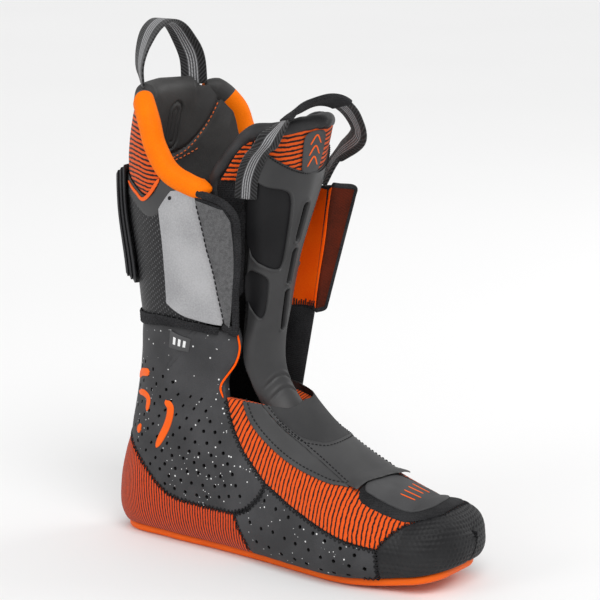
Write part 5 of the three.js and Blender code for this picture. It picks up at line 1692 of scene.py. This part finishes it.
def loop(name, points, faces, width, finish, body, replaces):
    """A loop of webbing through some points, whose width turns through some directions, given as
    sideways, forward and up."""
    path = even(spline(points, 300), 0.1)
    soft = np.exp(-np.linspace(-2, 2, 161) ** 2)
    far = np.pad(path, ((80, 80), (0, 0)), mode="reflect", reflect_type="odd")
    path = np.stack([np.convolve(far[:, k], soft / soft.sum(), mode="valid") for k in range(3)], -1)
    path = path[np.linspace(0, len(path) - 1, LOOP_RINGS).astype(int)]
    stops = np.linspace(0, len(faces) - 1, LOOP_RINGS)
    index = np.minimum(stops.astype(int), len(faces) - 2)
    share = (stops - index)[:, None]
    faces = np.array(faces) * [1, -1, 1]
    across = faces[index] * (1 - share) + faces[index + 1] * share
    sweep(name, path, across, width / 2, 0.9, finish, body, replaces, 28, 7.0)
    return path, across


rear_foot = lambda angle: skin(13.98, angle, -WALL / 2) + np.array([0, 0, RIM_HEIGHT / 2 + 0.35])
REAR_ROUTE = [(-28, -38, 336), (-19, -42, 349), (-6, -45, 361), (9, -46, 366.5), (21, -45, 362),
              (29, -42, 350), (32, -38, 338)]
rear_points = [rear_foot(-151), *(point3(*p) for p in REAR_ROUTE), rear_foot(150) - np.array([0, 0, 3.5])]
rear_faces = [(-0.75, 0.65, 0), (-0.55, 0.8, 0), (-0.2, 0.97, 0), (0.05, 1, 0), (0.25, 0.95, 0),
              (0.35, 0.9, 0)]
loop("rear_webbing_loop", rear_points, rear_faces, REAR_WEBBING_WIDTH, REAR_WEB, "rear_loop",
     ("rear_pull_loop",))

LEG_DEPTH = LAY + SHIELD_THICKNESS + 2 * LAY + 0.8
leg = lambda at, angle, depth: skin(at, angle, tongue_depth(at, angle) + depth)
tongue_points = [
    leg(11.35, -52, LEG_DEPTH + 1), leg(11.8, -51, LEG_DEPTH + 1.5), leg(12.25, -47, LEG_DEPTH + 3),
    leg(12.65, -41, LEG_DEPTH + 6), point3(-25, 85, 313), point3(-13, 91, 319), point3(1, 95, 321),
    point3(15, 98, 317), point3(27, 100, 307), point3(34, 100, 293),
    leg(12.05, 40, LEG_DEPTH + 8), leg(11.75, 40, LEG_DEPTH + 3.5), leg(11.35, 41, LEG_DEPTH + 1)]
tongue_faces = [(0.5, 0.85, 0), (0.5, 0.8, 0.2), (0.3, 0.6, 0.6), (0, 0.9, 0.4), (-0.3, 0.9, 0.2),
                (-0.5, 0.85, 0), (-0.5, 0.85, 0)]
tongue_path, tongue_across = loop("tongue_webbing_loop", tongue_points, tongue_faces,
                                  TONGUE_WEBBING_WIDTH, TONGUE_WEB, "tongue_loop",
                                  ("tongue_pull_loop",))
first, last = int(LOOP_RINGS * 4 / 12), int(LOOP_RINGS * 7 / 12)
sleeve_path, sleeve_across = tongue_path[first:last], unit(tongue_across[first:last])
sweep("grip_sleeve", sleeve_path, sleeve_across, TONGUE_WEBBING_WIDTH / 2 + 1.2, 1.9, TAPE, "tongue_loop",
      ("tongue_loop_sleeve",), 28, 6.0)
sleeve_up = np.cross(unit(np.gradient(sleeve_path, axis=0)), sleeve_across)
sleeve_up = sleeve_up * np.sign(sleeve_up[:, 2:3])
sweep("grip_sleeve_stripe", sleeve_path[3:-3] + sleeve_up[3:-3] * 2.0, sleeve_across[3:-3], 1.3, 0.35, INLAY,
      "tongue_loop", (), 12, 4.0)

# ---------------------------------------------------------------- carried-over pieces, camera, light

for node, finish in (("insole", LINING), ("shim_hook_strip", TAPE)):
    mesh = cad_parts[node].data
    mesh.materials.clear()
    mesh.materials.append(finish)

FLOOR = 30.0
floor_mesh = bpy.data.meshes.new("studio_floor")
floor_corners = [(-FLOOR, -FLOOR, 0), (FLOOR, -FLOOR, 0), (FLOOR, FLOOR, 0), (-FLOOR, FLOOR, 0)]
floor_mesh.from_pydata(floor_corners, [], [(0, 1, 2, 3)])
floor_object = placed("studio_floor", floor_mesh)
floor_finish, wire = start_finish("studio_floor")
tone = noise(wire, place_mm(wire), 0.002, 1.0)
end_finish(floor_finish, wire, tone.blend(colour(0.86, 0.86, 0.86), colour(0.88, 0.88, 0.88)), 0.85)
floor_mesh.materials.append(floor_finish)


def look(way):
    """The turn of a light or camera that looks along a direction."""
    return Vector(way).to_track_quat("-Z", "Y").to_euler()


def soft_light(name, place, target, size, power):
    data = bpy.data.lights.new(name, "AREA")
    data.shape = "DISK"
    data.size = size
    data.energy = power
    made = placed(name, data)
    made.location = place
    made.rotation_euler = look(Vector(target) - Vector(place))


middle = (0.0, -0.06, 0.17)
sun_data = bpy.data.lights.new("soft_key", "SUN")
sun_data.energy = 1.7
sun_data.angle = math.radians(38)
placed("soft_key", sun_data).rotation_euler = look((0.75, 0.75, -1.25))
soft_light("side_light", (-1.7, 0.7, 0.9), middle, 0.9, 6)
soft_light("far_light", (1.5, -0.9, 1.0), middle, 1.0, 7)

world = bpy.data.worlds.new("studio")
world.use_nodes = True
bpy.context.scene.world = world
background = world.node_tree.nodes.get("Background") or world.node_tree.nodes.new("ShaderNodeBackground")
background.inputs["Color"].default_value = (1, 1, 1, 1)
background.inputs["Strength"].default_value = 0.6
bpy.context.scene.view_settings.view_transform = "Standard"

camera_data = bpy.data.cameras.new("camera")
camera = placed("camera", camera_data)
camera.location = (-1.381, -1.0016, 0.529)
camera.rotation_euler = look(Vector((0, -0.070, 0.190)) - camera.location)
camera_data.angle = math.radians(13.74)
camera_data.shift_x = 0.01
camera_data.shift_y = -0.02
camera_data.clip_end = 50
bpy.context.scene.camera = camera
